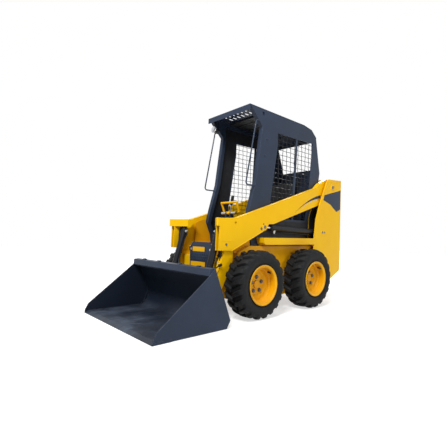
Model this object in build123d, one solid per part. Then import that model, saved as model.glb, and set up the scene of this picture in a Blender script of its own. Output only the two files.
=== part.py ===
from build123d import *
import math
import os

# Compact skid steer loader, in millimetres.
# +X is the machine's left side, -Y is its front, +Z is up and z = 0 is the ground.
# Outlines of side plates are (y, z) points; plan outlines are (x, y) points.

# ---------------------------------------------------------------- widths, outwards from the middle
CHASSIS_HALF = 325
TYRE_GAP = 27
TYRE_WIDTH = 210
WHEEL_X = CHASSIS_HALF + TYRE_GAP + TYRE_WIDTH / 2
SIDE_OVERHANG = 51
TOWER_OUTER = CHASSIS_HALF + SIDE_OVERHANG
TOWER_WIDTH = 96
TOWER_INNER = TOWER_OUTER - TOWER_WIDTH
FENDER_HALF = TOWER_OUTER
ARM_SINK = 30
ARM_OUTER = TOWER_OUTER - ARM_SINK
ARM_WIDTH = 46
ARM_INNER = ARM_OUTER - ARM_WIDTH
NOSE_WIDTH = 151
NOSE_INNER = ARM_OUTER - NOSE_WIDTH
LEG_WIDTH = 46
LEG_INNER = ARM_INNER - 16
CAB_SETBACK = 35
CAB_HALF = CHASSIS_HALF - CAB_SETBACK
BUCKET_MARGIN = 8
BUCKET_HALF = WHEEL_X + TYRE_WIDTH / 2 + BUCKET_MARGIN

# ---------------------------------------------------------------- wheels
TYRE_RADIUS = 286
TYRE_WALL = 16
TYRE_FACETS = 40
LUG_DEPTH = 21
LUG_TAPER = 0.14
LUG_SWEEP = 1.0
LUG_SPACE = 3
WHEELBASE = 758
AXLE_FRONT_Y = -233
AXLE_REAR_Y = AXLE_FRONT_Y + WHEELBASE
AXLE_Z = TYRE_RADIUS
RIM_BEAD_RADIUS = 152
RIM_FLANGE_RADIUS = 167
RIM_WIDTH = 200
RIM_SHEET = 6
RIM_DISC_SHEET = 9
HUB_RADIUS = 82
HUB_BORE_RADIUS = 34
STUD_CIRCLE_RADIUS = 62
STUD_COUNT = 5
NUT_RADIUS = 11
SHAFT_RADIUS = 32
SHAFT_FIT = 0.05
SEAT_GAP = 0.3

# ---------------------------------------------------------------- chassis
CHAINCASE_WIDTH = 120
BELLY_Z = 130
DECK_Z = 600
TUB_FRONT_Y = -320
CHAINCASE_REAR_Y = 880
FLOOR_Z = 330
RISER_Y = 150
PLATE = 10
REAR_FACE_Y = 1278
SKID_KNEE = (1093, 228)
REAR_SKID_Z = 311

# ---------------------------------------------------------------- fenders
FENDER_TOP_Z = 675
FENDER_DROP = 64
FENDER_FRONT_Y = -47
FENDER_CORNER = 30

# ---------------------------------------------------------------- towers
TOWER_TOP_Z = 1341
TOWER_FRONT_FOOT_Y = 754
TOWER_TOP_PLATE_Y = 1196
BAY_FRONT_Y = 790
ARCH_CLEARANCE = 35

# ---------------------------------------------------------------- lift arms
LIFT_PIVOT = (1091, 1245)
ARM_PLATE = 8
ARM_END_RADIUS = 84
LIFT_PIN_RADIUS = 22
NOSE_BOTTOM_Z = 566
NOSE_FRONT_Y = -552
NOSE_TOP_Z = 832
NOSE_HOLE = (-366, 799)
NOSE_HOLE_RADIUS = 9
CAP_DROP = 66
LEG_FRONT_Y = -478
LEG_REAR_Y = -380
CAP_CORNER_Y = -575
CAP_INNER_Y = -466
HITCH_PIVOT = (-599, 112)
HITCH_PIVOT_RADIUS = 30
LEG_PIN_RADIUS = 16

# ---------------------------------------------------------------- cylinders
LIFT_BASE = (906, 742)
LIFT_ROD_PIN = (0, 772)
LIFT_BASE_PIN_RADIUS = 16
LIFT_CYLINDER_X = (ARM_INNER + ARM_OUTER) / 2
LIFT_BARREL_RADIUS = 26
LIFT_ROD_RADIUS = 12
LIFT_BARREL_REACH = 800
TILT_TOP = (-450, 793)
TILT_TOP_PIN_RADIUS = 14
TILT_LINK = 130
TILT_LINK_LEAN = 10
TILT_LEG_GAP = 7
TILT_BARREL_RADIUS = 29
TILT_CYLINDER_X = LEG_INNER - TILT_LEG_GAP - TILT_BARREL_RADIUS - 1
TILT_ROD_RADIUS = 15
TILT_BARREL_REACH = 480
EYE_THICKNESS = 22

# ---------------------------------------------------------------- cab
CAB_SHEET = 8
CAB_FLANGE = 40
ROOF_Z = 1867
ROOF_SHEET = 6
VISOR_DROP = 50
VISOR_Y = -160
SCREEN_PITCH = 50
SCREEN_WIRE = 5

# ---------------------------------------------------------------- bucket
BUCKET_SHEET = 8
BUCKET_LEAN = 21.5
BUCKET_HEEL_Y = -640
BUCKET_TOP_Z = 455
BUCKET_FLOOR_Z = 4
EDGE_THICKNESS = 18
EDGE_DEPTH = 145
LIP_Y = -1278


# ---------------------------------------------------------------- helpers
def side_plate(outline, x_low, x_high):
    """A plate parallel to the machine's side, from a (y, z) outline."""
    face = Plane.YZ.offset(x_low) * make_face(Polyline(*outline, close=True))
    return extrude(face, amount=x_high - x_low)


def plan_plate(outline, z_low, z_high):
    """A level plate from an (x, y) outline."""
    face = Plane.XY.offset(z_low) * make_face(Polyline(*outline, close=True))
    return extrude(face, amount=z_high - z_low)


def block(x_low, x_high, y_low, y_high, z_low, z_high):
    size = Box(x_high - x_low, y_high - y_low, z_high - z_low, align=(Align.MIN, Align.MIN, Align.MIN))
    return Pos(x_low, y_low, z_low) * size


def rod(start, end, radius):
    """A round bar between two points."""
    axis = Vector(*end) - Vector(*start)
    place = Plane(origin=start, z_dir=axis).location
    return place * Cylinder(radius, axis.length, align=(Align.CENTER, Align.CENTER, Align.MIN))


def cross_rod(centre, radius, x_low, x_high):
    """A round bar along X about a (y, z) centre."""
    return rod((x_low, centre[0], centre[1]), (x_high, centre[0], centre[1]), radius)


def turned(profile):
    """A body of revolution about the X axis, from an (x, radius) profile."""
    face = make_face(Polyline(*profile, close=True))
    return revolve(face, axis=Axis.X)


def other_side(shape):
    return mirror(shape, about=Plane.YZ)


def write(name, shape):
    export_step(shape, "parts/" + name + ".step")


def write_pair(stem, shape):
    write(stem + "_left", shape)
    write(stem + "_right", other_side(shape))


os.makedirs("parts", exist_ok=True)


# ---------------------------------------------------------------- wheels
WHEEL_PLACES = [
    # name, side (+1 is left), axle y
    ("front_left", 1, AXLE_FRONT_Y),
    ("front_right", -1, AXLE_FRONT_Y),
    ("rear_left", 1, AXLE_REAR_Y),
    ("rear_right", -1, AXLE_REAR_Y),
]
HOUSING_RADIUS = 60
HOUSING_END_X = WHEEL_X - 33
HUB_FACE_X = WHEEL_X + 8
HUB_THICKNESS = 16


def rim_solid():
    """Drop-centre rim with a dished disc, hub flange, nuts and its drive shaft, about X at x = 0."""
    half = RIM_WIDTH / 2
    bead = RIM_BEAD_RADIUS
    flange = RIM_FLANGE_RADIUS
    well = bead - 14
    barrel = [
        (-half, flange), (-half, flange - RIM_SHEET), (-half + 8, bead - RIM_SHEET),
        (-38, bead - RIM_SHEET), (-26, well - RIM_SHEET), (26, well - RIM_SHEET),
        (38, bead - RIM_SHEET), (half - 8, bead - RIM_SHEET), (half, flange - RIM_SHEET),
        (half, flange), (half - RIM_SHEET, flange), (half - 12, bead),
        (40, bead), (28, well), (-28, well), (-40, bead), (-half + 12, bead),
        (-half + RIM_SHEET, flange),
    ]
    face_x = HUB_FACE_X - WHEEL_X
    disc = [
        (face_x, HUB_BORE_RADIUS), (face_x, 88), (face_x + 12, 104),
        (face_x + 12, well - RIM_SHEET + 1), (face_x + 12 - RIM_DISC_SHEET, well - RIM_SHEET + 1),
        (face_x + 12 - RIM_DISC_SHEET, 106), (face_x - RIM_DISC_SHEET, 92),
        (face_x - RIM_DISC_SHEET, HUB_BORE_RADIUS),
    ]
    back = face_x - RIM_DISC_SHEET
    shaft_end = CHASSIS_HALF + 18 - WHEEL_X
    hub = cross_rod((0, 0), HUB_RADIUS, back - HUB_THICKNESS, back)
    hub += cross_rod((0, 0), HUB_BORE_RADIUS, back, face_x + 12)
    hub += cross_rod((0, 0), SHAFT_RADIUS, shaft_end, back)
    solid = turned(barrel) + turned(disc) + hub
    for stud in range(STUD_COUNT):
        angle = math.radians(90 + stud * 360 / STUD_COUNT)
        spot = (STUD_CIRCLE_RADIUS * math.cos(angle), STUD_CIRCLE_RADIUS * math.sin(angle))
        solid += cross_rod(spot, NUT_RADIUS, back, face_x + 16)
    return solid


FACET_TURN = 2 * math.pi / TYRE_FACETS
LUG_TURN = math.pi - LUG_TAPER * FACET_TURN


def tyre_corner(x, radius, step):
    """A point of the tyre, a number of facet steps round X from the bar that meets the ground."""
    turn = LUG_TURN + step * FACET_TURN
    return (x, radius * math.sin(turn), radius * math.cos(turn))


def flat(*corners):
    return make_face(Polyline(*corners, close=True))


def halves(a, b, c, d):
    """A bent four-cornered patch as two triangles."""
    return [flat(a, b, c), flat(a, c, d)]


def lug_faces(tread, shoulder, wall, step):
    """Skin of one tapered bar over the facet of two bands, from (x, radius, sweep) rings."""
    root = [tyre_corner(*tread[:2], step + end + tread[2]) for end in (0, 1)]
    edge = [tyre_corner(*shoulder[:2], step + end + shoulder[2]) for end in (0, 1)]
    foot = [tyre_corner(*wall[:2], step + end + wall[2]) for end in (0, 1)]
    ends = (LUG_TAPER, 1 - LUG_TAPER)
    tip = [tyre_corner(tread[0], TYRE_RADIUS, step + end + tread[2]) for end in ends]
    far_tip = [tyre_corner(shoulder[0], TYRE_RADIUS - 2, step + end + shoulder[2]) for end in ends]
    faces = halves(tip[0], tip[1], far_tip[1], far_tip[0])
    faces += halves(far_tip[0], far_tip[1], foot[1], foot[0])
    faces += halves(root[0], root[1], tip[1], tip[0])
    for end in (0, 1):
        faces += halves(root[end], tip[end], far_tip[end], edge[end])
        faces.append(flat(edge[end], far_tip[end], foot[end]))
    return faces


def tyre_solid():
    """Tyre in flat facets about X, with two staggered rows of swept bars on every second facet."""
    half = TYRE_WIDTH / 2
    base = TYRE_RADIUS - LUG_DEPTH
    bead = (RIM_BEAD_RADIUS + SEAT_GAP) / math.cos(FACET_TURN / 2)
    left = [
        # x, radius, sweep in facet steps
        (80 - TYRE_WALL, bead, LUG_SWEEP), (80, bead, LUG_SWEEP), (half, 212, LUG_SWEEP),
        (half - 7, base - 15, LUG_SWEEP), (half - 30, base, 0.7 * LUG_SWEEP), (LUG_SPACE, base, 0),
    ]
    right = [(-x, radius, sweep) for x, radius, sweep in reversed(left)]
    inside = [(side * (half - TYRE_WALL - 2), 214, LUG_SWEEP) for side in (-1, 1)]
    rings = left + right + inside
    barred = {3: 0, 4: 0, 6: 1, 7: 1}
    faces = []
    for band, (near, far) in enumerate(zip(rings, rings[1:] + rings[:1])):
        for step in range(TYRE_FACETS):
            if band in barred and step % 2 == barred[band]:
                continue
            corners = [
                tyre_corner(*near[:2], step + near[2]), tyre_corner(*near[:2], step + 1 + near[2]),
                tyre_corner(*far[:2], step + 1 + far[2]), tyre_corner(*far[:2], step + far[2]),
            ]
            faces += [flat(*corners)] if near[2] == far[2] else halves(*corners)
    for step in range(0, TYRE_FACETS, 2):
        faces += lug_faces(left[5], left[4], left[3], step)
        faces += lug_faces(right[0], right[1], right[2], step + 1)
    return Solid(Shell(faces))


rim = rim_solid()
tyre = tyre_solid()
for name, side, axle_y in WHEEL_PLACES:
    place = Pos(side * WHEEL_X, axle_y, AXLE_Z)
    write("rim_" + name, place * (rim if side > 0 else other_side(rim)))
    write("tyre_" + name, place * (tyre if side > 0 else other_side(tyre)))

housings = []
for name, side, axle_y in WHEEL_PLACES:
    housing = cross_rod((axle_y, AXLE_Z), HOUSING_RADIUS, CHASSIS_HALF, HOUSING_END_X)
    housing += cross_rod((axle_y, AXLE_Z), HOUSING_RADIUS + 25, CHASSIS_HALF, CHASSIS_HALF + 14)
    housing -= cross_rod((axle_y, AXLE_Z), SHAFT_RADIUS + SHAFT_FIT, CHASSIS_HALF, HOUSING_END_X)
    housings.append(housing if side > 0 else other_side(housing))
write("axle_housings", Compound(children=housings))


# ---------------------------------------------------------------- chassis
CASE_INNER = CHASSIS_HALF - CHAINCASE_WIDTH
BAY_HALF = TOWER_INNER - PLATE
skid_slope = (SKID_KNEE[1] - BELLY_Z) / (SKID_KNEE[0] - CHAINCASE_REAR_Y)


def chassis_tub():
    """Two closed chain cases joined by a belly, a footwell, a seat deck and the engine bay's floor."""
    tub = block(-CHASSIS_HALF, CHASSIS_HALF, TUB_FRONT_Y, CHAINCASE_REAR_Y, BELLY_Z, BELLY_Z + PLATE)
    case = [
        (TUB_FRONT_Y, BELLY_Z), (CHAINCASE_REAR_Y, BELLY_Z), (CHAINCASE_REAR_Y, DECK_Z),
        (TUB_FRONT_Y + 130, DECK_Z), (TUB_FRONT_Y, DECK_Z - 60),
    ]
    for low, high in ((CASE_INNER, CHASSIS_HALF), (-CHASSIS_HALF, -CASE_INNER)):
        tub += side_plate(case, low, high)
    tub += block(-CASE_INNER, CASE_INNER, TUB_FRONT_Y, TUB_FRONT_Y + PLATE, BELLY_Z, FLOOR_Z)
    tub += block(-CASE_INNER, CASE_INNER, TUB_FRONT_Y, RISER_Y, FLOOR_Z, FLOOR_Z + PLATE)
    tub += block(-CASE_INNER, CASE_INNER, RISER_Y, RISER_Y + PLATE, FLOOR_Z, DECK_Z)
    tub += block(-CASE_INNER, CASE_INNER, RISER_Y, CHAINCASE_REAR_Y - 200, DECK_Z - PLATE, DECK_Z)
    rear_floor = [
        (CHAINCASE_REAR_Y, BELLY_Z), SKID_KNEE, (REAR_FACE_Y - PLATE, REAR_SKID_Z - 4),
        (REAR_FACE_Y - PLATE, REAR_SKID_Z - 4 + PLATE), (SKID_KNEE[0], SKID_KNEE[1] + PLATE),
        (CHAINCASE_REAR_Y, BELLY_Z + PLATE),
    ]
    tub += side_plate(rear_floor, -BAY_HALF, BAY_HALF)
    for beam_y in ENGINE_BEAMS:
        foot_z = BELLY_Z + (beam_y - CHAINCASE_REAR_Y) * skid_slope
        tub += block(-BAY_HALF, BAY_HALF, beam_y - 10, beam_y + 10, foot_z, ENGINE_Z)
    return tub


ENGINE_Z = 340
ENGINE_BEAMS = (950, 1080)
ENGINE_SIZE = (380, 300, 430)

write("chassis_tub", chassis_tub())
engine = block(
    -ENGINE_SIZE[0] / 2, ENGINE_SIZE[0] / 2, ENGINE_BEAMS[0] - 40,
    ENGINE_BEAMS[0] - 40 + ENGINE_SIZE[1], ENGINE_Z, ENGINE_Z + ENGINE_SIZE[2],
)
write("engine_block", engine)


# ---------------------------------------------------------------- fenders
def fender():
    """Folded deck strip beside the cab: top, outer flange, front end round its lower corner, inner leg."""
    bottom = FENDER_TOP_Z - FENDER_DROP
    knee_y = FENDER_FRONT_Y + 7
    corner = FENDER_CORNER
    round_in = corner * (1 - math.sqrt(0.5))
    heel = (knee_y + corner, bottom)
    edges = [
        Line((FENDER_FRONT_Y, FENDER_TOP_Z), (knee_y, bottom + corner)),
        ThreePointArc((knee_y, bottom + corner), (knee_y + round_in, bottom + round_in), heel),
        Line(heel, (TOWER_FRONT_FOOT_Y, bottom)),
        Line((TOWER_FRONT_FOOT_Y, bottom), (TOWER_FRONT_FOOT_Y, FENDER_TOP_Z)),
        Line((TOWER_FRONT_FOOT_Y, FENDER_TOP_Z), (FENDER_FRONT_Y, FENDER_TOP_Z)),
    ]
    inner = CAB_HALF + SEAT_GAP
    strip = extrude(Plane.YZ.offset(inner) * make_face(Wire(edges)), amount=FENDER_HALF - inner)
    pocket = [
        (FENDER_FRONT_Y + PLATE + 1, FENDER_TOP_Z - PLATE), (knee_y + PLATE, bottom + corner),
        (knee_y + corner, bottom + PLATE), (knee_y + corner, bottom - 1),
        (TOWER_FRONT_FOOT_Y + 1, bottom - 1), (TOWER_FRONT_FOOT_Y + 1, FENDER_TOP_Z - PLATE),
    ]
    strip -= side_plate(pocket, inner + PLATE, FENDER_HALF - PLATE)
    strip += block(inner, inner + PLATE, knee_y + corner, TOWER_FRONT_FOOT_Y, DECK_Z, FENDER_TOP_Z)
    return strip


write("fenders", Compound(children=[fender(), other_side(fender())]))


# ---------------------------------------------------------------- towers
def tower():
    """Rear post: outer and inner side plates, back plate and top plate, open towards the arm."""
    arch = TYRE_RADIUS + ARCH_CLEARANCE
    arch_foot_y = AXLE_REAR_Y + math.sqrt(arch**2 - (AXLE_Z - BELLY_Z) ** 2)
    arch_head_z = AXLE_Z + math.sqrt(arch**2 - (TOWER_FRONT_FOOT_Y - AXLE_REAR_Y) ** 2)
    outer = [
        (1011, TOWER_TOP_Z - 14), (REAR_FACE_Y, TOWER_TOP_Z), (REAR_FACE_Y, REAR_SKID_Z), SKID_KNEE,
        (CHAINCASE_REAR_Y - 4, BELLY_Z), (arch_foot_y - 60, BELLY_Z),
        (TOWER_FRONT_FOOT_Y, arch_head_z - 60),
        (TOWER_FRONT_FOOT_Y, FENDER_TOP_Z), (781, 876), (845, 1037), (974, 1289),
    ]
    post = side_plate(outer, TOWER_OUTER - PLATE, TOWER_OUTER)
    post -= cross_rod((AXLE_REAR_Y, AXLE_Z), arch, TOWER_OUTER - PLATE - 1, TOWER_OUTER + 1)
    inner = [
        (986, TOWER_TOP_Z - 14), (REAR_FACE_Y, TOWER_TOP_Z - PLATE), (REAR_FACE_Y, REAR_SKID_Z), SKID_KNEE,
        (CHAINCASE_REAR_Y + SEAT_GAP, BELLY_Z), (CHAINCASE_REAR_Y + SEAT_GAP, DECK_Z + SEAT_GAP),
        (BAY_FRONT_Y, DECK_Z + SEAT_GAP), (BAY_FRONT_Y, 900), (968, 1290),
    ]
    post += side_plate(inner, TOWER_INNER - PLATE, TOWER_INNER)
    back_y = REAR_FACE_Y - PLATE
    post += block(TOWER_INNER - PLATE, TOWER_OUTER, back_y, REAR_FACE_Y, REAR_SKID_Z, TOWER_TOP_Z - 1)
    top = [
        (TOWER_TOP_PLATE_Y, TOWER_TOP_Z - 4 - PLATE), (REAR_FACE_Y, TOWER_TOP_Z - PLATE),
        (REAR_FACE_Y, TOWER_TOP_Z), (TOWER_TOP_PLATE_Y, TOWER_TOP_Z - 4),
    ]
    post += side_plate(top, TOWER_INNER - PLATE, TOWER_OUTER)
    floor = [
        (CHAINCASE_REAR_Y - 4, BELLY_Z), SKID_KNEE, (REAR_FACE_Y, REAR_SKID_Z),
        (REAR_FACE_Y, REAR_SKID_Z + PLATE), (SKID_KNEE[0], SKID_KNEE[1] + PLATE),
        (CHAINCASE_REAR_Y - 4, BELLY_Z + PLATE),
    ]
    post += side_plate(floor, CHASSIS_HALF, TOWER_OUTER)
    post += side_plate(floor, TOWER_INNER - PLATE, CHASSIS_HALF) & block(
        0, 500, CHAINCASE_REAR_Y + SEAT_GAP, REAR_FACE_Y, 0, 500)
    post += cross_rod(LIFT_PIVOT, LIFT_PIN_RADIUS, TOWER_INNER - PLATE, TOWER_OUTER + 6)
    post += cross_rod(LIFT_PIVOT, LIFT_PIN_RADIUS + 16, TOWER_OUTER, TOWER_OUTER + 3)
    post += cross_rod(LIFT_BASE, LIFT_BASE_PIN_RADIUS, TOWER_INNER - PLATE, TOWER_OUTER + 3)
    return post


TAIL_LAMP = (TOWER_INNER + 50, 1180)
TAIL_LAMP_RADIUS = 34
TAIL_LAMP_DEPTH = 16
tower_left = tower()
tower_left -= rod((TAIL_LAMP[0], REAR_FACE_Y - 2 * PLATE, TAIL_LAMP[1]),
                  (TAIL_LAMP[0], REAR_FACE_Y + 1, TAIL_LAMP[1]), TAIL_LAMP_RADIUS + SEAT_GAP)
write("tower_left", tower_left)
lamp = rod((TAIL_LAMP[0], REAR_FACE_Y - TAIL_LAMP_DEPTH, TAIL_LAMP[1]),
           (TAIL_LAMP[0], REAR_FACE_Y, TAIL_LAMP[1]), TAIL_LAMP_RADIUS)
write("tail_lamps", Compound(children=[lamp, other_side(lamp)]))


# ---------------------------------------------------------------- lift arms
def arm():
    """Hollow arm of two side plates and edge strips, with the nose box, its cap and the hitch leg."""
    pin_y, pin_z = LIFT_ROD_PIN
    pivot_y, pivot_z = LIFT_PIVOT
    outline = [
        (NOSE_FRONT_Y, NOSE_BOTTOM_Z), (NOSE_FRONT_Y + 148, NOSE_BOTTOM_Z - 4), (pin_y - 7, pin_z - 34),
        (pin_y + 20, pin_z - 28), (pin_y + 58, 801), (pin_y + 122, 803), (857, 1029),
        (pivot_y - 31, 1094), (pivot_y + 39, pivot_z - 74), (pivot_y, pivot_z),
        (pivot_y, pivot_z + ARM_END_RADIUS), (1011, 1327), (884, 1271), (815, 1214), (116, 988),
        (-351, 841), (-500, NOSE_TOP_Z), (NOSE_FRONT_Y + 8, NOSE_TOP_Z - 10),
    ]
    inside = [
        (NOSE_FRONT_Y - 1, NOSE_BOTTOM_Z - 1), (NOSE_FRONT_Y + 146, NOSE_BOTTOM_Z - 5),
        (pin_y - 66, pin_z - 49), (pin_y - 40, pin_z - 60), (pin_y + 122, pin_z - 60), (pin_y + 124, 812),
        (855, 1037), (1004, 1085), (1004, 1313), (887, 1263), (819, 1206), (119, 980),
        (-349, 833), (NOSE_FRONT_Y - 1, 824),
    ]
    body = side_plate(outline, ARM_INNER, ARM_OUTER)
    body += cross_rod(LIFT_PIVOT, ARM_END_RADIUS, ARM_INNER, ARM_OUTER)
    body -= side_plate(inside, ARM_INNER + ARM_PLATE, ARM_OUTER - ARM_PLATE)
    body -= cross_rod(LIFT_PIVOT, LIFT_PIN_RADIUS + SHAFT_FIT, ARM_INNER - 1, ARM_OUTER + 1)
    body -= cross_rod(NOSE_HOLE, NOSE_HOLE_RADIUS, ARM_OUTER - ARM_PLATE - 1, ARM_OUTER + 1)
    for low in (ARM_INNER - 3, ARM_OUTER):
        body += cross_rod(LIFT_ROD_PIN, 26, low, low + 3)
    cap = [
        (ARM_OUTER, -351), (ARM_OUTER, CAP_CORNER_Y + 8), (ARM_OUTER - 8, CAP_CORNER_Y),
        (NOSE_INNER, CAP_INNER_Y), (NOSE_INNER, CAP_INNER_Y + 90), (ARM_INNER, -351),
    ]
    body += plan_plate(cap, NOSE_TOP_Z - ARM_PLATE, NOSE_TOP_Z)
    lip = [
        (ARM_OUTER, CAP_CORNER_Y + 20), (ARM_OUTER, CAP_CORNER_Y + 8), (ARM_OUTER - 8, CAP_CORNER_Y),
        (NOSE_INNER, CAP_INNER_Y), (NOSE_INNER, CAP_INNER_Y + 9), (ARM_OUTER - 9, CAP_CORNER_Y + 12),
        (ARM_OUTER - 9, CAP_CORNER_Y + 40), (ARM_OUTER, CAP_CORNER_Y + 40),
    ]
    body += plan_plate(lip, NOSE_TOP_Z - CAP_DROP, NOSE_TOP_Z)
    lug = [
        (CAP_INNER_Y, NOSE_TOP_Z), (CAP_INNER_Y, NOSE_TOP_Z - CAP_DROP),
        (TILT_TOP[0] - 14, TILT_TOP[1] - 40), (TILT_TOP[0] + 20, TILT_TOP[1] - 34),
        (CAP_INNER_Y + 90, NOSE_TOP_Z),
    ]
    body += side_plate(lug, NOSE_INNER, NOSE_INNER + ARM_PLATE)
    body += cross_rod(TILT_TOP, TILT_TOP_PIN_RADIUS, NOSE_INNER, ARM_INNER)
    return body + leg()


def leg():
    """Box leg from the nose down to the hitch pivot, with the pivot's bore."""
    y, z = HITCH_PIVOT
    outer = LEG_INNER + LEG_WIDTH
    outline = [
        (LEG_FRONT_Y + 28, NOSE_TOP_Z - 50), (LEG_FRONT_Y, NOSE_BOTTOM_Z),
        (y - HITCH_PIVOT_RADIUS, z + 4), (y + HITCH_PIVOT_RADIUS - 2, z - 10),
        (LEG_REAR_Y - 74, 330), (LEG_REAR_Y, 480), (LEG_REAR_Y, NOSE_TOP_Z - 50),
    ]
    bar = side_plate(outline, LEG_INNER, outer)
    bar += cross_rod(HITCH_PIVOT, HITCH_PIVOT_RADIUS, LEG_INNER, outer)
    bar -= cross_rod(HITCH_PIVOT, LEG_PIN_RADIUS + SHAFT_FIT, LEG_INNER - 1, outer + 1)
    return bar


write_pair("lift_arm", arm())

STEP_FRONT_Y = -467
STEP_Z = (377, 625)
STEP_HALF = 155
CROSS_TUBE_Y = (-455, -375)
CROSS_TUBE_Z = (400, 500)
cross_tube = block(-LEG_INNER, LEG_INNER, *CROSS_TUBE_Y, *CROSS_TUBE_Z)
cross_tube -= block(-LEG_INNER, LEG_INNER, CROSS_TUBE_Y[0] + PLATE, CROSS_TUBE_Y[1] - PLATE,
                    CROSS_TUBE_Z[0] + PLATE, CROSS_TUBE_Z[1] - PLATE)
for side in (-1, 1):
    low, high = sorted((side * (LEG_INNER - PLATE), side * LEG_INNER))
    cross_tube += block(low, high, -490, CROSS_TUBE_Y[1], CROSS_TUBE_Z[0] - 10, CROSS_TUBE_Z[1] + 40)
write("cross_tube", cross_tube)


def step_plate():
    """Front tread on the cross tube, with chamfered upper corners and a fold back at the top."""
    low, high = STEP_Z
    outline = [
        (-STEP_HALF, low), (STEP_HALF, low), (STEP_HALF, high - 48), (STEP_HALF - 36, high),
        (-STEP_HALF + 36, high), (-STEP_HALF, high - 48),
    ]
    face = Plane.XZ.offset(-STEP_FRONT_Y) * make_face(Polyline(*outline, close=True))
    step = extrude(face, amount=STEP_FRONT_Y - CROSS_TUBE_Y[0])
    step += block(-STEP_HALF + 36, STEP_HALF - 36, STEP_FRONT_Y, CROSS_TUBE_Y[0] + 60, high - PLATE, high)
    return step


write("step_plate", step_plate())


# ---------------------------------------------------------------- cylinders
def along(start, end, distance):
    """The point on the line from start to end at a distance from start, in the side plane."""
    length = math.dist(start, end)
    return tuple(a + (b - a) * distance / length for a, b in zip(start, end))


def cylinder_barrel(base, tip, centre_x, radius, reach, eye_radius, neck_length):
    """Barrel with a bored base eye, a gland and an open bore for its rod."""
    first = along(base, tip, eye_radius + neck_length)
    last = along(base, tip, reach)
    gland = along(base, tip, reach - 26)
    bore_end = along(base, tip, eye_radius + neck_length + 10)
    barrel = rod((centre_x, *first), (centre_x, *last), radius)
    barrel += rod((centre_x, *gland), (centre_x, *last), radius + 1)
    half = EYE_THICKNESS / 2
    barrel += rod((centre_x, *base), (centre_x, *first), half + 4)
    barrel += cross_rod(base, eye_radius, centre_x - half - 4, centre_x + half + 4)
    return barrel, bore_end


def cylinder_rod(tip, centre_x, radius, start, eye_radius):
    """Rod with its eye, running in the barrel's bore."""
    half = EYE_THICKNESS / 2
    bar = rod((centre_x, *start), (centre_x, *tip), radius)
    bar += cross_rod(tip, eye_radius, centre_x - half, centre_x + half)
    return bar


CYLINDERS = [
    # name, centre x, barrel radius, rod radius, barrel reach,
    # base pin radius, eye radius, neck length, rod start
    ("lift", LIFT_CYLINDER_X, LIFT_BARREL_RADIUS, LIFT_ROD_RADIUS, LIFT_BARREL_REACH,
     LIFT_BASE_PIN_RADIUS, 26, 12, 70),
    ("tilt", TILT_CYLINDER_X, TILT_BARREL_RADIUS, TILT_ROD_RADIUS, TILT_BARREL_REACH,
     TILT_TOP_PIN_RADIUS, 22, 24, 110),
]
lean = math.radians(TILT_LINK_LEAN)
TILT_ROD_PIN = (HITCH_PIVOT[0] - TILT_LINK * math.sin(lean), HITCH_PIVOT[1] + TILT_LINK * math.cos(lean))
CYLINDER_PINS = {"lift": (LIFT_BASE, LIFT_ROD_PIN), "tilt": (TILT_TOP, TILT_ROD_PIN)}
for name, centre_x, barrel_r, rod_r, reach, pin_r, eye_r, neck_length, rod_start in CYLINDERS:
    base, tip = CYLINDER_PINS[name]
    barrel, bore_end = cylinder_barrel(base, tip, centre_x, barrel_r, reach, eye_r, neck_length)
    barrel -= cross_rod(base, pin_r + SHAFT_FIT, centre_x - 40, centre_x + 40)
    barrel -= rod((centre_x, *bore_end), (centre_x, *along(base, tip, reach + 9)), rod_r + SHAFT_FIT)
    write_pair(name + "_barrel", barrel)
    start = along(base, tip, rod_start)
    write_pair(name + "_rod", cylinder_rod(tip, centre_x, rod_r, start, eye_r))


# ---------------------------------------------------------------- bucket and hitch
back_tilt = math.radians(BUCKET_LEAN)
UP_BACK = (-math.sin(back_tilt), math.cos(back_tilt))
OFF_BACK = (math.cos(back_tilt), math.sin(back_tilt))
HEEL_UP = (BUCKET_HEEL_Y + 20, BUCKET_FLOOR_Z + 58)


def on_back(height, off):
    """A (y, z) point measured up the bucket's back from its heel and square off it to the rear."""
    return tuple(foot + up * height + out * off for foot, up, out in zip(HEEL_UP, UP_BACK, OFF_BACK))


BACK_HEIGHT = (BUCKET_TOP_Z - HEEL_UP[1]) / UP_BACK[1]
BACK_TOP = on_back(BACK_HEIGHT, 0)
LIP_BACK_Y = LIP_Y + EDGE_DEPTH


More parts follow.
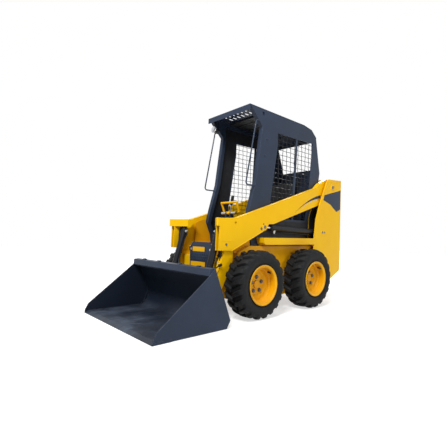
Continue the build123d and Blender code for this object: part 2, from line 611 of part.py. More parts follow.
def bucket_shell():
    """One bent sheet for back and floor, side plates, and a box beam along the top."""
    sheet = BUCKET_SHEET
    bend = 92
    heel = (BUCKET_HEEL_Y - 15, BUCKET_FLOOR_Z)
    inner_back_foot = on_back(bend, -sheet)
    inner_floor = (heel[0] - bend, BUCKET_FLOOR_Z + sheet)
    chord_y, chord_z = ((a + b) / 2 for a, b in zip(inner_back_foot, inner_floor))
    middle = (chord_y + 26, chord_z - 17)
    edges = [
        Line(BACK_TOP, HEEL_UP), Line(HEEL_UP, heel), Line(heel, (LIP_BACK_Y, BUCKET_FLOOR_Z)),
        Line((LIP_BACK_Y, BUCKET_FLOOR_Z), (LIP_BACK_Y, BUCKET_FLOOR_Z + sheet)),
        Line((LIP_BACK_Y, BUCKET_FLOOR_Z + sheet), inner_floor),
        ThreePointArc(inner_floor, middle, inner_back_foot),
        Line(inner_back_foot, on_back(BACK_HEIGHT, -sheet)), Line(on_back(BACK_HEIGHT, -sheet), BACK_TOP),
    ]
    face = Plane.YZ.offset(-BUCKET_HALF + sheet) * make_face(Wire(edges))
    shell = extrude(face, amount=2 * (BUCKET_HALF - sheet))
    beam_front = (BACK_TOP[0] - 51, BACK_TOP[1] - 53)
    beam = [
        BACK_TOP, (BACK_TOP[0] - 46, BACK_TOP[1] - 4), beam_front, (BACK_TOP[0] - 40, BACK_TOP[1] - 60),
        on_back(BACK_HEIGHT - 62, -sheet), on_back(BACK_HEIGHT - 62, 0),
    ]
    shell += side_plate(beam, -BUCKET_HALF + sheet, BUCKET_HALF - sheet)
    cheek = [
        BACK_TOP, beam_front, (LIP_Y + 34, 78), (LIP_Y + 4, EDGE_THICKNESS + 2 + BUCKET_FLOOR_Z),
        (LIP_BACK_Y, EDGE_THICKNESS + 2 + BUCKET_FLOOR_Z), (LIP_BACK_Y, BUCKET_FLOOR_Z), heel, HEEL_UP,
    ]
    for low in (-BUCKET_HALF, BUCKET_HALF - sheet):
        shell += side_plate(cheek, low, low + sheet)
    return shell


write("bucket_shell", bucket_shell())
edge = [
    (LIP_Y, 2), (LIP_Y + 34, 2 + EDGE_THICKNESS), (LIP_BACK_Y - SEAT_GAP, 2 + EDGE_THICKNESS),
    (LIP_BACK_Y - SEAT_GAP, 2),
]
write("cutting_edge", side_plate(edge, -BUCKET_HALF, BUCKET_HALF))

HITCH_SHEET = 12
EAR = 9
SIDE_GAP = 5
HITCH_TOP = 330


def hitch_frame():
    """Quick-attach frame: a plate against the bucket's back, ears for the legs and lugs for the rods."""
    gap = SEAT_GAP
    half = LEG_INNER + LEG_WIDTH + SIDE_GAP + EAR
    back = gap + HITCH_SHEET
    board = [on_back(8, gap), on_back(HITCH_TOP, gap), on_back(HITCH_TOP, back), on_back(8, back)]
    frame = side_plate(board, -half, half)
    notch = [on_back(70, -1), on_back(HITCH_TOP - 60, -1), on_back(HITCH_TOP - 60, 30), on_back(70, 30)]
    frame -= side_plate(notch, -half + 170, half - 170)
    heel_notch = [on_back(0, -1), on_back(120, -1), on_back(120, 30), on_back(0, 30)]
    for low in (LEG_INNER - SIDE_GAP, -LEG_INNER - LEG_WIDTH - SIDE_GAP):
        frame -= side_plate(heel_notch, low, low + LEG_WIDTH + 2 * SIDE_GAP)
    for centre in (-TILT_CYLINDER_X, TILT_CYLINDER_X):
        slot = [on_back(96, -1), on_back(HITCH_TOP - 70, -1), on_back(HITCH_TOP - 70, 30), on_back(96, 30)]
        frame -= side_plate(slot, centre - EYE_THICKNESS / 2 - 4, centre + EYE_THICKNESS / 2 + 4)
    y, z = HITCH_PIVOT
    ear = [
        on_back(10, gap), on_back(150, gap), (y + 20, z + 44), (y + 34, z), (y + 16, z - 30),
        on_back(10, gap + 30),
    ]
    ty, tz = TILT_ROD_PIN
    lug = [
        on_back(105, gap), on_back(225, gap), (ty + 2, tz + 24), (ty + 24, tz + 6), (ty + 22, tz - 20),
        on_back(105, gap + 20),
    ]
    pieces = []
    for side in (-1, 1):
        for x_low in (LEG_INNER - SIDE_GAP - EAR, LEG_INNER + LEG_WIDTH + SIDE_GAP):
            pieces.append(side_plate(ear, *sorted((side * x_low, side * (x_low + EAR)))))
        pin = sorted((side * (LEG_INNER - SIDE_GAP - EAR), side * half))
        pieces.append(cross_rod(HITCH_PIVOT, LEG_PIN_RADIUS, *pin))
        clear = EYE_THICKNESS / 2 + 4
        for x_low in (TILT_CYLINDER_X - clear - EAR, TILT_CYLINDER_X + clear):
            pieces.append(side_plate(lug, *sorted((side * x_low, side * (x_low + EAR)))))
    for piece in pieces:
        frame += piece
    return frame


write("hitch_frame", hitch_frame())


def latch_lever():
    """Cranked hand lever of the hitch's wedge, outside the leg, with its round grip."""
    x = LEG_INNER + LEG_WIDTH + SIDE_GAP + 5
    foot = on_back(HITCH_TOP - 20, HITCH_SHEET + 2 * SEAT_GAP + 14)
    lever = cross_rod(foot, 14, x - 22, x + 4)
    lever += rod((x, *foot), (x, -532, 447), 5)
    lever += rod((x, -545, 443), (x, -514, 452), 11) & block(x - 7, x + 7, -700, -400, 300, 600)
    return lever


write("latch_levers", Compound(children=[latch_lever(), other_side(latch_lever())]))


# ---------------------------------------------------------------- cab
CAB_REAR_TOP = [(659, ROOF_Z - 5), (797, ROOF_Z - 27), (889, ROOF_Z - 97)]
CAB_HIP = (963, 1398)
CAB_WAIST = (944, 1292)
PILLAR_FOOT = [(-182, 809), (-130, 697)]
ROOF_UNDER = [
    (VISOR_Y, ROOF_Z - ROOF_SHEET), *[(y, z - ROOF_SHEET) for y, z in CAB_REAR_TOP[:2]],
    (CAB_REAR_TOP[2][0] - ROOF_SHEET, CAB_REAR_TOP[2][1] - ROOF_SHEET),
]
SIDE_OUTLINE = [
    *[(y, z - SEAT_GAP) for y, z in ROOF_UNDER], CAB_HIP, CAB_WAIST, (766, 900),
    (756, DECK_Z + SEAT_GAP), (-116, DECK_Z + SEAT_GAP), *reversed(PILLAR_FOOT),
    (-144, 950), (-66, 1207), (6, ROOF_Z - 167),
]
SIDE_WINDOW = [
    (230, ROOF_Z - 181), (820, ROOF_Z - 171), (769, 1193), (700, 860), (105, 860), (140, 1060),
    (228, ROOF_Z - 307),
]
WINDOW_POST = [(500, 1100), (537, ROOF_Z - 197)]
WINDOW_POST_WIDTH = 28
LIFT_HOLE = (16, ROOF_Z - 46)
POCKET = [
    (30, ROOF_Z - 46), (655, ROOF_Z - 52), (784, ROOF_Z - 72), (856, ROOF_Z - 128), (925, 1396),
    (905, 1304), (728, 902), (716, 640), (-84, 640), (-92, 700), (-140, 810), (-102, 952),
    (-24, 1210), (46, ROOF_Z - 177),
]


def cab_side():
    """Side panel: outer sheet with the window cut, and a flange turned in all round."""
    panel = side_plate(SIDE_OUTLINE, CAB_HALF - CAB_FLANGE, CAB_HALF)
    panel -= side_plate(POCKET, CAB_HALF - CAB_FLANGE - 1, CAB_HALF - CAB_SHEET)
    panel -= side_plate(SIDE_WINDOW, CAB_HALF - CAB_FLANGE, CAB_HALF + 1)
    (foot_y, foot_z), (head_y, head_z) = WINDOW_POST
    run = (head_y - foot_y) / (head_z - foot_z)
    post = []
    for z, half in ((ROOF_Z, -1), (ROOF_Z, 1), (DECK_Z, 1), (DECK_Z, -1)):
        post.append((foot_y + (z - foot_z) * run + half * WINDOW_POST_WIDTH / 2, z))
    panel += side_plate(post, CAB_HALF - CAB_SHEET, CAB_HALF) & side_plate(SIDE_WINDOW, 0, TOWER_OUTER)
    hole = [(LIFT_HOLE[0] + a, LIFT_HOLE[1] + b) for a, b in ((-15, -15), (15, -15), (15, 15), (-15, 15))]
    return panel - side_plate(hole, CAB_HALF - CAB_SHEET - 1, CAB_HALF + 1)


write_pair("cab_side", cab_side())


def crossing(outline, axis, value):
    """Where a line at a fixed y (axis 0) or z (axis 1) enters and leaves a convex outline."""
    hits = []
    for first, second in zip(outline, outline[1:] + outline[:1]):
        a, b = first[axis] - value, second[axis] - value
        if a * b < 0:
            share = a / (a - b)
            hits.append(first[1 - axis] + (second[1 - axis] - first[1 - axis]) * share)
    return min(hits), max(hits)


def screen():
    """Woven guard of the side window: a layer of upright wires and a layer of level ones."""
    wires = []
    overlap = 14
    face = CAB_HALF - CAB_SHEET - SEAT_GAP
    y = SIDE_WINDOW[4][0] + SCREEN_PITCH / 2
    while y < SIDE_WINDOW[1][0] - 12:
        low, high = crossing(SIDE_WINDOW, 0, y)
        wire = (y - SCREEN_WIRE / 2, y + SCREEN_WIRE / 2, low - overlap, high + overlap)
        wires.append(block(face - SCREEN_WIRE, face, *wire))
        y += SCREEN_PITCH
    z = SIDE_WINDOW[4][1] + SCREEN_PITCH / 2
    inner = face - SCREEN_WIRE - SEAT_GAP
    while z < SIDE_WINDOW[1][1] - 12:
        low, high = crossing(SIDE_WINDOW, 1, z)
        wire = (low - overlap, high + overlap, z - SCREEN_WIRE / 2, z + SCREEN_WIRE / 2)
        wires.append(block(inner - SCREEN_WIRE, inner, *wire))
        z += SCREEN_PITCH
    return wires


wires = screen()
write("screen_left", Compound(children=wires))
write("screen_right", Compound(children=[other_side(wire) for wire in wires]))

SLOT_ROWS = (-76, 6)
SLOT_PITCH = 55
SLOTS_PER_ROW = 6
SLOT_WIDTH = 26
SLOT_LENGTH = 58


def cab_roof():
    """Bent roof sheet with the visor's fold at the front and two rows of slots."""
    sheet = [(VISOR_Y, ROOF_Z), *CAB_REAR_TOP, *reversed(ROOF_UNDER)]
    roof = side_plate(sheet, -CAB_HALF, CAB_HALF)
    front_y = VISOR_Y - ROOF_SHEET
    roof += block(-CAB_HALF, CAB_HALF, front_y, VISOR_Y - SEAT_GAP, ROOF_Z - VISOR_DROP, ROOF_Z)
    roof += block(-CAB_HALF, CAB_HALF, front_y, VISOR_Y, ROOF_Z - ROOF_SHEET, ROOF_Z)
    for row in SLOT_ROWS:
        for step in range(SLOTS_PER_ROW):
            x = (step - (SLOTS_PER_ROW - 1) / 2) * SLOT_PITCH
            roof -= Pos(x, row, ROOF_Z) * Box(SLOT_WIDTH, SLOT_LENGTH, 4 * ROOF_SHEET)
    return roof


write("cab_roof", cab_roof())


REAR_SHEET = 6
REAR_WINDOW_TOP_Z = ROOF_Z - 132
REAR_WINDOW_FOOT_Z = 1437


def cab_rear_panel():
    """Back sheet between the side panels, with the rear window cut."""
    top = (884, ROOF_Z - 108)
    hip = (CAB_HIP[0] - 3, CAB_HIP[1])
    foot_z = CAB_WAIST[1] + 4
    outline = [
        top, hip, (CAB_WAIST[0] - 4, foot_z), (CAB_WAIST[0] - 4 - REAR_SHEET, foot_z),
        (hip[0] - REAR_SHEET - 1, hip[1]), (top[0] - REAR_SHEET, top[1]),
    ]
    half = CAB_HALF - CAB_FLANGE - SEAT_GAP
    panel = side_plate(outline, -half, half)
    top_half, foot_half = half - 14, half - 45
    window = [
        (-top_half, REAR_WINDOW_TOP_Z), (top_half, REAR_WINDOW_TOP_Z),
        (foot_half, REAR_WINDOW_FOOT_Z), (-foot_half, REAR_WINDOW_FOOT_Z),
    ]
    face = Plane.XZ.offset(-CAB_HIP[0] - 50) * make_face(Polyline(*window, close=True))
    return panel - extrude(face, amount=200)


write("cab_rear_panel", cab_rear_panel())


def cab_lower_rear():
    """Sloping bulkhead behind the seat, from the back sheet down to the deck."""
    half = CAB_HALF - CAB_FLANGE - SEAT_GAP
    head = (CAB_WAIST[0] - 4, CAB_WAIST[1])
    foot_z = DECK_Z + SEAT_GAP
    outline = [
        head, (760, 900), (750, foot_z), (750 - REAR_SHEET, foot_z), (760 - REAR_SHEET, 902),
        (head[0] - REAR_SHEET, head[1]),
    ]
    return side_plate(outline, -half, half)


write("cab_bulkhead", cab_lower_rear())

LAMP_PLACE = (CAB_HALF - 44, -133, ROOF_Z - 110)


LAMP_RADIUS = 34


def work_lamp(side):
    """Round lamp under the visor's corner on a short bracket."""
    x = side * LAMP_PLACE[0]
    y, z = LAMP_PLACE[1:]
    lamp = rod((x, y + 30, z), (x, y - 4, z), LAMP_RADIUS)
    lamp += rod((x, y + 30, z), (x, y + 52, z), 20)
    inner = x - side * 20
    outer = side * (CAB_HALF - CAB_FLANGE - 2 * SEAT_GAP)
    lamp += block(*sorted((inner, outer)), y + 8, y + 22, z + 20, ROOF_Z - ROOF_SHEET - SEAT_GAP)
    return lamp


write("work_lamps", work_lamp(-1))

RAIL_RADIUS = 6.5
RAIL_INSET = 3
RAIL_BEND = 24
RAIL_TOP_Y = -76
RAIL_FOOT_Y = -200


def grab_rail(side):
    """Bent hand rail that stands out in front of the pillar, its ends cut to the pillar's front edge."""
    x = side * (CAB_HALF - RAIL_INSET)
    top_z, foot_z = ROOF_Z - 121, 1146
    top_y, foot_y = (crossing(SIDE_OUTLINE, 1, z)[0] for z in (top_z, foot_z))
    corners = [
        (x, top_y + RAIL_BEND, top_z), (x, RAIL_TOP_Y, top_z), (x, RAIL_FOOT_Y, foot_z),
        (x, foot_y + RAIL_BEND, foot_z),
    ]
    path = FilletPolyline(*corners, radius=RAIL_BEND)
    rail = sweep(Plane(origin=path @ 0, z_dir=path % 0) * Circle(RAIL_RADIUS), path=path)
    front_edge = [SIDE_OUTLINE[0], *reversed(SIDE_OUTLINE[-3:]), *PILLAR_FOOT]
    behind = [(y - SEAT_GAP, z) for y, z in front_edge] + [(500, PILLAR_FOOT[1][1]), (500, ROOF_Z)]
    return rail - side_plate(behind, *sorted((side * CAB_FLANGE, side * TOWER_OUTER)))


write("grab_rails", Compound(children=[grab_rail(1), grab_rail(-1)]))


# ---------------------------------------------------------------- operator's place
SEAT_TOP_Z = 840
SEAT_FRONT_Y = 210
SEAT_HALF = 215
SEAT_PAN = 18


BACK_TOP_Z = 1260
BACK_FOOT_Y = 628
BACK_RECLINE = 0.13
BACK_THICKNESS = 105


def back_face(z):
    """Front face of the seat's back plate at a height."""
    return BACK_FOOT_Y + (z - SEAT_TOP_Z + 130) * BACK_RECLINE


def seat_base():
    """Seat box on the deck and the pan that holds the cushions."""
    base = block(-170, 170, SEAT_FRONT_Y + 40, 600, DECK_Z + SEAT_GAP, SEAT_TOP_Z - 130)
    base += block(-SEAT_HALF, SEAT_HALF, SEAT_FRONT_Y, 640, SEAT_TOP_Z - 130, SEAT_TOP_Z - 110)
    face = [(back_face(z), z) for z in (SEAT_TOP_Z - 130, BACK_TOP_Z)]
    rear = [(y + SEAT_PAN, z) for y, z in reversed(face)]
    return base + side_plate(face + rear, -SEAT_HALF + 20, SEAT_HALF - 20)


write("seat_base", seat_base())
cushion = block(-SEAT_HALF, SEAT_HALF, SEAT_FRONT_Y, 560, SEAT_TOP_Z - 110 + SEAT_GAP, SEAT_TOP_Z)
write("seat_cushion", fillet(cushion.edges().filter_by(Axis.Z), 40))
back_low, back_high = SEAT_TOP_Z + 20, BACK_TOP_Z + 16
back_rear = [(back_face(z) - SEAT_GAP, z) for z in (back_low, back_high)]
back_front = [(y - BACK_THICKNESS, z) for y, z in reversed(back_rear)]
back_cushion = side_plate(back_rear + back_front, -SEAT_HALF + 25, SEAT_HALF - 25)
write("seat_backrest", back_cushion)

CONSOLE_WIDTH = 70
CONSOLE_OUTER = CAB_HALF - CAB_FLANGE - 15
CONSOLE_X = (CONSOLE_OUTER - CONSOLE_WIDTH, CONSOLE_OUTER)
CONSOLE_Z = 850


def console():
    """Side console on the deck that carries one hand lever."""
    low = DECK_Z + SEAT_GAP
    outline = [(-60, low), (190, low), (190, 810), (90, CONSOLE_Z), (20, CONSOLE_Z), (-60, 790)]
    return side_plate(outline, *CONSOLE_X)


write("control_consoles", Compound(children=[console(), other_side(console())]))


def lever():
    """Hand lever with its grip, on the console's top."""
    x = sum(CONSOLE_X) / 2
    stem = rod((x, 52, CONSOLE_Z + 8), (x - 34, 60, 1010), 7)
    stem += rod((x, 52, CONSOLE_Z + SEAT_GAP), (x, 52, CONSOLE_Z + 22), 18)
    grip = rod((x - 32, 58, 1000), (x - 48, 66, 1100), 16)
    return stem + grip


write("control_levers", Compound(children=[lever(), other_side(lever())]))

BAR_PIVOT = (-124, 904)
BAR_RADIUS = 15
LOOP_RADIUS = 11
LOOP_HALF = 104


def lap_pedestal():
    """Post from the footwell floor that carries the lap bar's cross tube."""
    y, z = BAR_PIVOT
    post = block(-34, 34, y - 24, y + 24, FLOOR_Z + PLATE + SEAT_GAP, z - 40)
    ear = [(y - 24, z - 40), (y + 24, z - 40), (y + 14, z + 12), (y - 14, z + 12)]
    for low in (-34, 22):
        post += side_plate(ear, low, low + 12)
    post -= cross_rod(BAR_PIVOT, BAR_RADIUS + SHAFT_FIT, -40, 40)
    return post


write("lap_bar_post", lap_pedestal())


def lap_bar():
    """Cross tube in the post with the hand loop above it."""
    y, z = BAR_PIVOT
    bar = cross_rod(BAR_PIVOT, BAR_RADIUS, -LOOP_HALF - 6, LOOP_HALF + 6)
    foot = (y + 34, z + 12)
    head = (y - 6, z + 100)
    for x in (-LOOP_HALF, LOOP_HALF):
        bar += rod((x, *foot), (x, *head), LOOP_RADIUS)
        bar += Pos(x, *foot) * Sphere(LOOP_RADIUS)
        bar += Pos(x, *head) * Sphere(LOOP_RADIUS)
        bar += rod((x, *BAR_PIVOT), (x, *foot), LOOP_RADIUS - 2)
    bar += rod((-LOOP_HALF, *head), (LOOP_HALF, *head), LOOP_RADIUS)
    return bar


write("lap_bar", lap_bar())


# ---------------------------------------------------------------- engine bay covers
HOOD_Z = 1172
HOOD_SHEET = 6
HOOD_SKIRT = 14
HOOD_FRONT_Y = 950
DOOR_Z = (424, 1150)
DOOR_HALF = TOWER_INNER - 22
DOOR_THICKNESS = 22
DOOR_FACE_Y = 1266


def engine_hood():
    """Top cover between the towers with two rows of cooling slots and a front skirt."""
    half = TOWER_INNER - PLATE - SEAT_GAP
    front, top = HOOD_FRONT_Y + 12, HOOD_Z + HOOD_SHEET
    hood = block(-half, half, front, REAR_FACE_Y - 12, HOOD_Z, top)
    hood += block(-half, half, front, front + HOOD_SHEET, HOOD_Z - HOOD_SKIRT, top)
    for x in range(-210, 211, 35):
        hood -= block(x - 9, x + 9, front + 38, front + 218, HOOD_Z - 1, top + 1)
    return hood


write("engine_hood", engine_hood())


def rear_door():
    """Framed rear door with a stack of slanted louvres in its opening."""
    low, high = DOOR_Z
    back = DOOR_FACE_Y
    door = block(-DOOR_HALF, DOOR_HALF, back - DOOR_THICKNESS, back, low, high)
    door -= block(-DOOR_HALF + 8, DOOR_HALF - 8, back - DOOR_THICKNESS - 1, back - 5, low + 8, high - 8)
    door -= block(-DOOR_HALF + 60, DOOR_HALF - 60, back - 30, back + 1, low + 200, high - 80)
    for z in range(int(low + 214), int(high - 92), 36):
        blade = [(back - 20, z + 20), (back - 1, z), (back - 1, z + 5), (back - 20, z + 25)]
        door += side_plate(blade, -DOOR_HALF + 56, DOOR_HALF - 56)
    for z in HINGE_ZS:
        door += rod((-HINGE_X, HINGE_Y, z - 25), (-HINGE_X, HINGE_Y, z + 25), 8)
        door += block(-HINGE_X, -DOOR_HALF + 20, HINGE_Y - 8, HINGE_Y, z - 25, z + 25)
        door -= rod((-HINGE_X, HINGE_Y, z - 26), (-HINGE_X, HINGE_Y, z + 26), 4 + SHAFT_FIT)
    return door


TOW_HOLE_RADIUS = 14
BUMPER_DEPTH = 50
HINGE_X = DOOR_HALF + 3
HINGE_Y = REAR_FACE_Y - 9
HINGE_ZS = (560, 1000)
write("rear_door", rear_door())


def door_hinge_pins():
    pins = []
    for z in HINGE_ZS:
        pin = rod((-HINGE_X, HINGE_Y, z - 36), (-HINGE_X, HINGE_Y, z + 30), 4)
        pin += block(-TOWER_INNER + PLATE, -HINGE_X, HINGE_Y - 8, HINGE_Y + 8, z - 36, z - 27)
        pins.append(pin)
    return pins


write("tower_right", other_side(tower_left) + door_hinge_pins())
bumper_half = TOWER_INNER - PLATE - SEAT_GAP
bumper_z = (REAR_SKID_Z + 8, DOOR_Z[0] - 8)
bumper = block(-bumper_half, bumper_half, REAR_FACE_Y - BUMPER_DEPTH, REAR_FACE_Y, *bumper_z)
tow_hole_z = sum(bumper_z) / 2
bumper -= rod((0, REAR_FACE_Y - BUMPER_DEPTH, tow_hole_z), (0, REAR_FACE_Y, tow_hole_z), TOW_HOLE_RADIUS)
write("rear_bumper", bumper)
PIPE_PLACE = (-150, 1215)
PIPE_RADIUS = 24
PIPE_WALL = 3
pipe_foot = HOOD_Z + HOOD_SHEET + SEAT_GAP
pipe = rod((*PIPE_PLACE, pipe_foot), (*PIPE_PLACE, pipe_foot + 64), PIPE_RADIUS)
pipe -= rod((*PIPE_PLACE, pipe_foot + 6), (*PIPE_PLACE, pipe_foot + 65), PIPE_RADIUS - PIPE_WALL)
write("exhaust_pipe", pipe)
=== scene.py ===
# %% [markdown]
# # A compact skid steer loader
# The solid pieces of this machine come from its drawing office as a fixed frame: plates, tubes, rims,
# cylinders. This notebook gives each of them its finish, and makes what a workshop adds to them: tread,
# woven wire, hoses, bolts, cushions, lenses and stripes. Everything is in metres. +X is the machine's left
# side, -Y its front and +Z is up.

# %% Libraries and the frame
import math

import bpy
import numpy as np
from mathutils import Matrix, Vector


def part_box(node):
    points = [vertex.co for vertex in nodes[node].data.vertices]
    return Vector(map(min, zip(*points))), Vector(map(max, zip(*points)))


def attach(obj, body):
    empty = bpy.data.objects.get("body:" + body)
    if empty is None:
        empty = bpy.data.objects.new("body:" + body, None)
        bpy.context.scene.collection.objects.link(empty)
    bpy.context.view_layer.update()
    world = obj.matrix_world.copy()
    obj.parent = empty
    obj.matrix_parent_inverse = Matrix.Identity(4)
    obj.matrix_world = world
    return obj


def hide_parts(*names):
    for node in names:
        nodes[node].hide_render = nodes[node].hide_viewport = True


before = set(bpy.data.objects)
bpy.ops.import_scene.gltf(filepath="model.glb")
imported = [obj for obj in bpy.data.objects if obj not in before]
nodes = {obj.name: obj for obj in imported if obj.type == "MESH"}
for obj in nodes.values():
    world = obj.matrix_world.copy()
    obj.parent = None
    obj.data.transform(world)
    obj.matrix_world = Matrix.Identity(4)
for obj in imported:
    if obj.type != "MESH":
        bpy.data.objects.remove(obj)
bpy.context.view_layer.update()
SIDES = (("left", 1), ("right", -1))

# %% [markdown]
# ## The camera
# A product picture is taken low, from the front left corner, with a slightly wide lens. A camera looks
# along its own -Z, so its matrix is built from three directions: right, up and back. A small lens shift
# frames the machine without tilting the verticals.

# %% The camera
CAMERA_PLACE = (2.389, -2.3532, 0.6939)
AZIMUTH, ELEVATION, ROLL = (math.radians(angle) for angle in (48.33, 0.245, 1.157))
FOCAL_LENGTH = 27.36
LENS_SHIFT = (0.0063, 0.0285)


def camera_matrix():
    """Columns are right, up and back: right is forward x Z, then right and up turn by the roll."""
    level = math.cos(ELEVATION)
    forward = Vector((-math.sin(AZIMUTH) * level, math.cos(AZIMUTH) * level, -math.sin(ELEVATION)))
    right = forward.cross(Vector((0, 0, 1))).normalized()
    up = right.cross(forward)
    rolled_right = right * math.cos(ROLL) + up * math.sin(ROLL)
    rolled_up = up * math.cos(ROLL) - right * math.sin(ROLL)
    turn = Matrix((rolled_right, rolled_up, -forward)).transposed().to_4x4()
    return Matrix.Translation(CAMERA_PLACE) @ turn


camera = bpy.data.objects.new("camera", bpy.data.cameras.new("camera"))
camera.data.lens = FOCAL_LENGTH
camera.data.shift_x, camera.data.shift_y = LENS_SHIFT
camera.matrix_world = camera_matrix()
bpy.context.scene.collection.objects.link(camera)
bpy.context.scene.camera = camera
bpy.context.scene.view_settings.view_transform = "Standard"
print("camera at", CAMERA_PLACE, "lens", FOCAL_LENGTH, "mm")

# %% [markdown]
# ## Finishes made of nodes
# A finish is a small graph: a pattern on Object coordinates, which don't slide when a piece moves, drives
# the colour, the roughness and the bump of one Principled shader. A few short helpers keep the graphs
# readable: they add a node, remap or multiply patterns, and blend two colours.

# %% Helpers for node graphs
def linear(red, green, blue):
    """A screen colour of 0 to 255 as the linear values that a shader works with."""
    steps = np.array([red, green, blue]) / 255
    values = np.where(steps <= 0.04045, steps / 12.92, ((steps + 0.055) / 1.055) ** 2.4)
    return (*values.tolist(), 1.0)


def new_finish(name):
    """An empty finish: itself, its node tree and its Principled shader."""
    finish = bpy.data.materials.new(name)
    finish.use_nodes = True
    return finish, finish.node_tree, finish.node_tree.nodes["Principled BSDF"]


def fill(tree, socket, value):
    """Links a value that is a socket, and sets any other as the socket's own."""
    if isinstance(value, bpy.types.NodeSocket):
        tree.links.new(value, socket)
    else:
        socket.default_value = value


def add(tree, kind, settings=None, *values, **inputs):
    """Adds a node and gives its first output. Values fill its inputs in turn, and named ones by name."""
    made = tree.nodes.new("ShaderNode" + kind)
    for setting, value in (settings or {}).items():
        setattr(made, setting, value)
    for index, value in enumerate(values):
        fill(tree, made.inputs[index], value)
    for name, value in inputs.items():
        fill(tree, made.inputs[name], value)
    return made.outputs[0]


def remap(tree, value, low, high, to_low=0.0, to_high=1.0):
    """A pattern stretched from low..high to a new range and clamped there."""
    return add(tree, "MapRange", None, value, low, high, to_low, to_high)


def math_node(tree, operation, first, second=0.0):
    return add(tree, "Math", {"operation": operation}, first, second)


def times(tree, *patterns):
    """The product of two or more patterns."""
    product = patterns[0]
    for pattern in patterns[1:]:
        product = math_node(tree, "MULTIPLY", product, pattern)
    return product


def blend(tree, share, first, second):
    """The second colour over the first, by a share that may be a pattern."""
    made = tree.nodes.new("ShaderNodeMix")
    made.data_type = "RGBA"
    for index, value in ((0, share), (6, first), (7, second)):
        fill(tree, made.inputs[index], value)
    return made.outputs[2]


def axes(tree, vector):
    """The x, y and z of a vector as three sockets."""
    split = tree.nodes.new("ShaderNodeSeparateXYZ")
    tree.links.new(vector, split.inputs[0])
    return split.outputs


def normal(tree):
    return tree.nodes.new("ShaderNodeNewGeometry").outputs["Normal"]


def place(tree, scale=(1, 1, 1)):
    """Object coordinates, stretched by a Mapping node."""
    where = tree.nodes.new("ShaderNodeTexCoord").outputs["Object"]
    return add(tree, "Mapping", Vector=where, Scale=scale)


def noise(tree, size, detail=3.0, roughness=0.55, scale=(1, 1, 1)):
    """Cloudy pattern whose lumps are about size metres across."""
    return add(tree, "TexNoise", Vector=place(tree, scale), Scale=1 / size, Detail=detail,
               Roughness=roughness)


def bump(tree, strength, distance, height, **more):
    return add(tree, "Bump", Strength=strength, Distance=distance, Height=height, **more)


def dress(tree, shader, **sockets):
    """Fills the shader's sockets: a name's underscores stand for spaces."""
    for name, value in sockets.items():
        fill(tree, shader.inputs[name.replace("_", " ")], value)


print("node helpers ready")

# %% [markdown]
# ## The studio
# The machine stands on a plain pale floor under soft light from the front and above. The lamps stay at a
# level where a colour renders about as it is written. The floor looks white to the camera and in
# reflections because its finish adds light of its own to those rays only: a little under the machine, so
# that its soft shadow stays, and more further out, where the lamps no longer reach.

# %% Floor, world and lamps
FLOOR_HALF = 14.0
FLOOR_GREY = (0.55, 0.55, 0.55, 1)
WHITE = (1, 1, 1, 1)
# the floor's own glow under the machine, and the distances between which it grows to 1
NEAR_GLOW, NEAR, FAR = 0.58, 1.5, 4.0
SKY_LEVEL = 0.2
LAMPS = [
    # name, place, aimed at, size, power in watts
    ("key_lamp", (2.4, -4.2, 5.6), (0, 0, 0.8), 1.8, 490),
    ("side_lamp", (5.2, 0.6, 2.4), (0, 0.3, 0.8), 2.0, 62),
    ("top_lamp", (-0.4, 0.4, 5.2), (0, 0, 0.8), 2.4, 100),
    ("back_lamp", (-3.0, 5.2, 3.6), (0, 0.4, 0.8), 2.6, 260),
]


def sees_white(tree):
    """1 for rays from the camera, off a gloss or through glass, and 0 for the rays that light the object."""
    path = tree.nodes.new("ShaderNodeLightPath")
    rays = path.outputs["Is Camera Ray"]
    for other in ("Is Glossy Ray", "Is Transmission Ray"):
        rays = math_node(tree, "MAXIMUM", rays, path.outputs[other])
    return rays


def stage_floor():
    """A square at z = 0, matt, plus a glow that only the camera and reflections see.
    Glow = NEAR_GLOW up to NEAR metres from the middle, rising in a straight line to 1 at FAR metres."""
    floor_mesh = bpy.data.meshes.new("floor")
    corners = [(x * FLOOR_HALF, y * FLOOR_HALF, 0) for x, y in ((-1, -1), (1, -1), (1, 1), (-1, 1))]
    floor_mesh.from_pydata(corners, [], [(0, 1, 2, 3)])
    floor = bpy.data.objects.new("floor", floor_mesh)
    bpy.context.scene.collection.objects.link(floor)
    finish, tree, shader = new_finish("floor_white")
    distance = tree.nodes.new("ShaderNodeVectorMath")
    distance.operation = "LENGTH"
    tree.links.new(tree.nodes.new("ShaderNodeTexCoord").outputs["Object"], distance.inputs[0])
    glow = remap(tree, distance.outputs["Value"], NEAR, FAR, NEAR_GLOW, 1.0)
    dress(tree, shader, Base_Color=FLOOR_GREY, Roughness=0.9, Specular_IOR_Level=0.0, Emission_Color=WHITE,
          Emission_Strength=times(tree, sees_white(tree), glow))
    floor_mesh.materials.append(finish)


def stage_world():
    """A pale sky that lights at one level and looks white to the camera, in reflections and through glass."""
    world = bpy.data.worlds.new("studio")
    world.use_nodes = True
    tree = world.node_tree
    strength = remap(tree, sees_white(tree), 0.0, 1.0, SKY_LEVEL, 1.0)
    dress(tree, tree.nodes["Background"], Color=WHITE, Strength=strength)
    bpy.context.scene.world = world


def stage_lamp(name, lamp_place, aim, size, power):
    """A square lamp that faces its aim: a lamp shines along its own -Z."""
    lamp = bpy.data.objects.new(name, bpy.data.lights.new(name, "AREA"))
    lamp.data.size = size
    lamp.data.energy = power
    lamp.location = lamp_place
    lamp.rotation_euler = (Vector(aim) - Vector(lamp_place)).to_track_quat("-Z", "Y").to_euler()
    bpy.context.scene.collection.objects.link(lamp)


stage_floor()
stage_world()
for lamp_row in LAMPS:
    stage_lamp(*lamp_row)
print("floor, world and", len(LAMPS), "lamps")

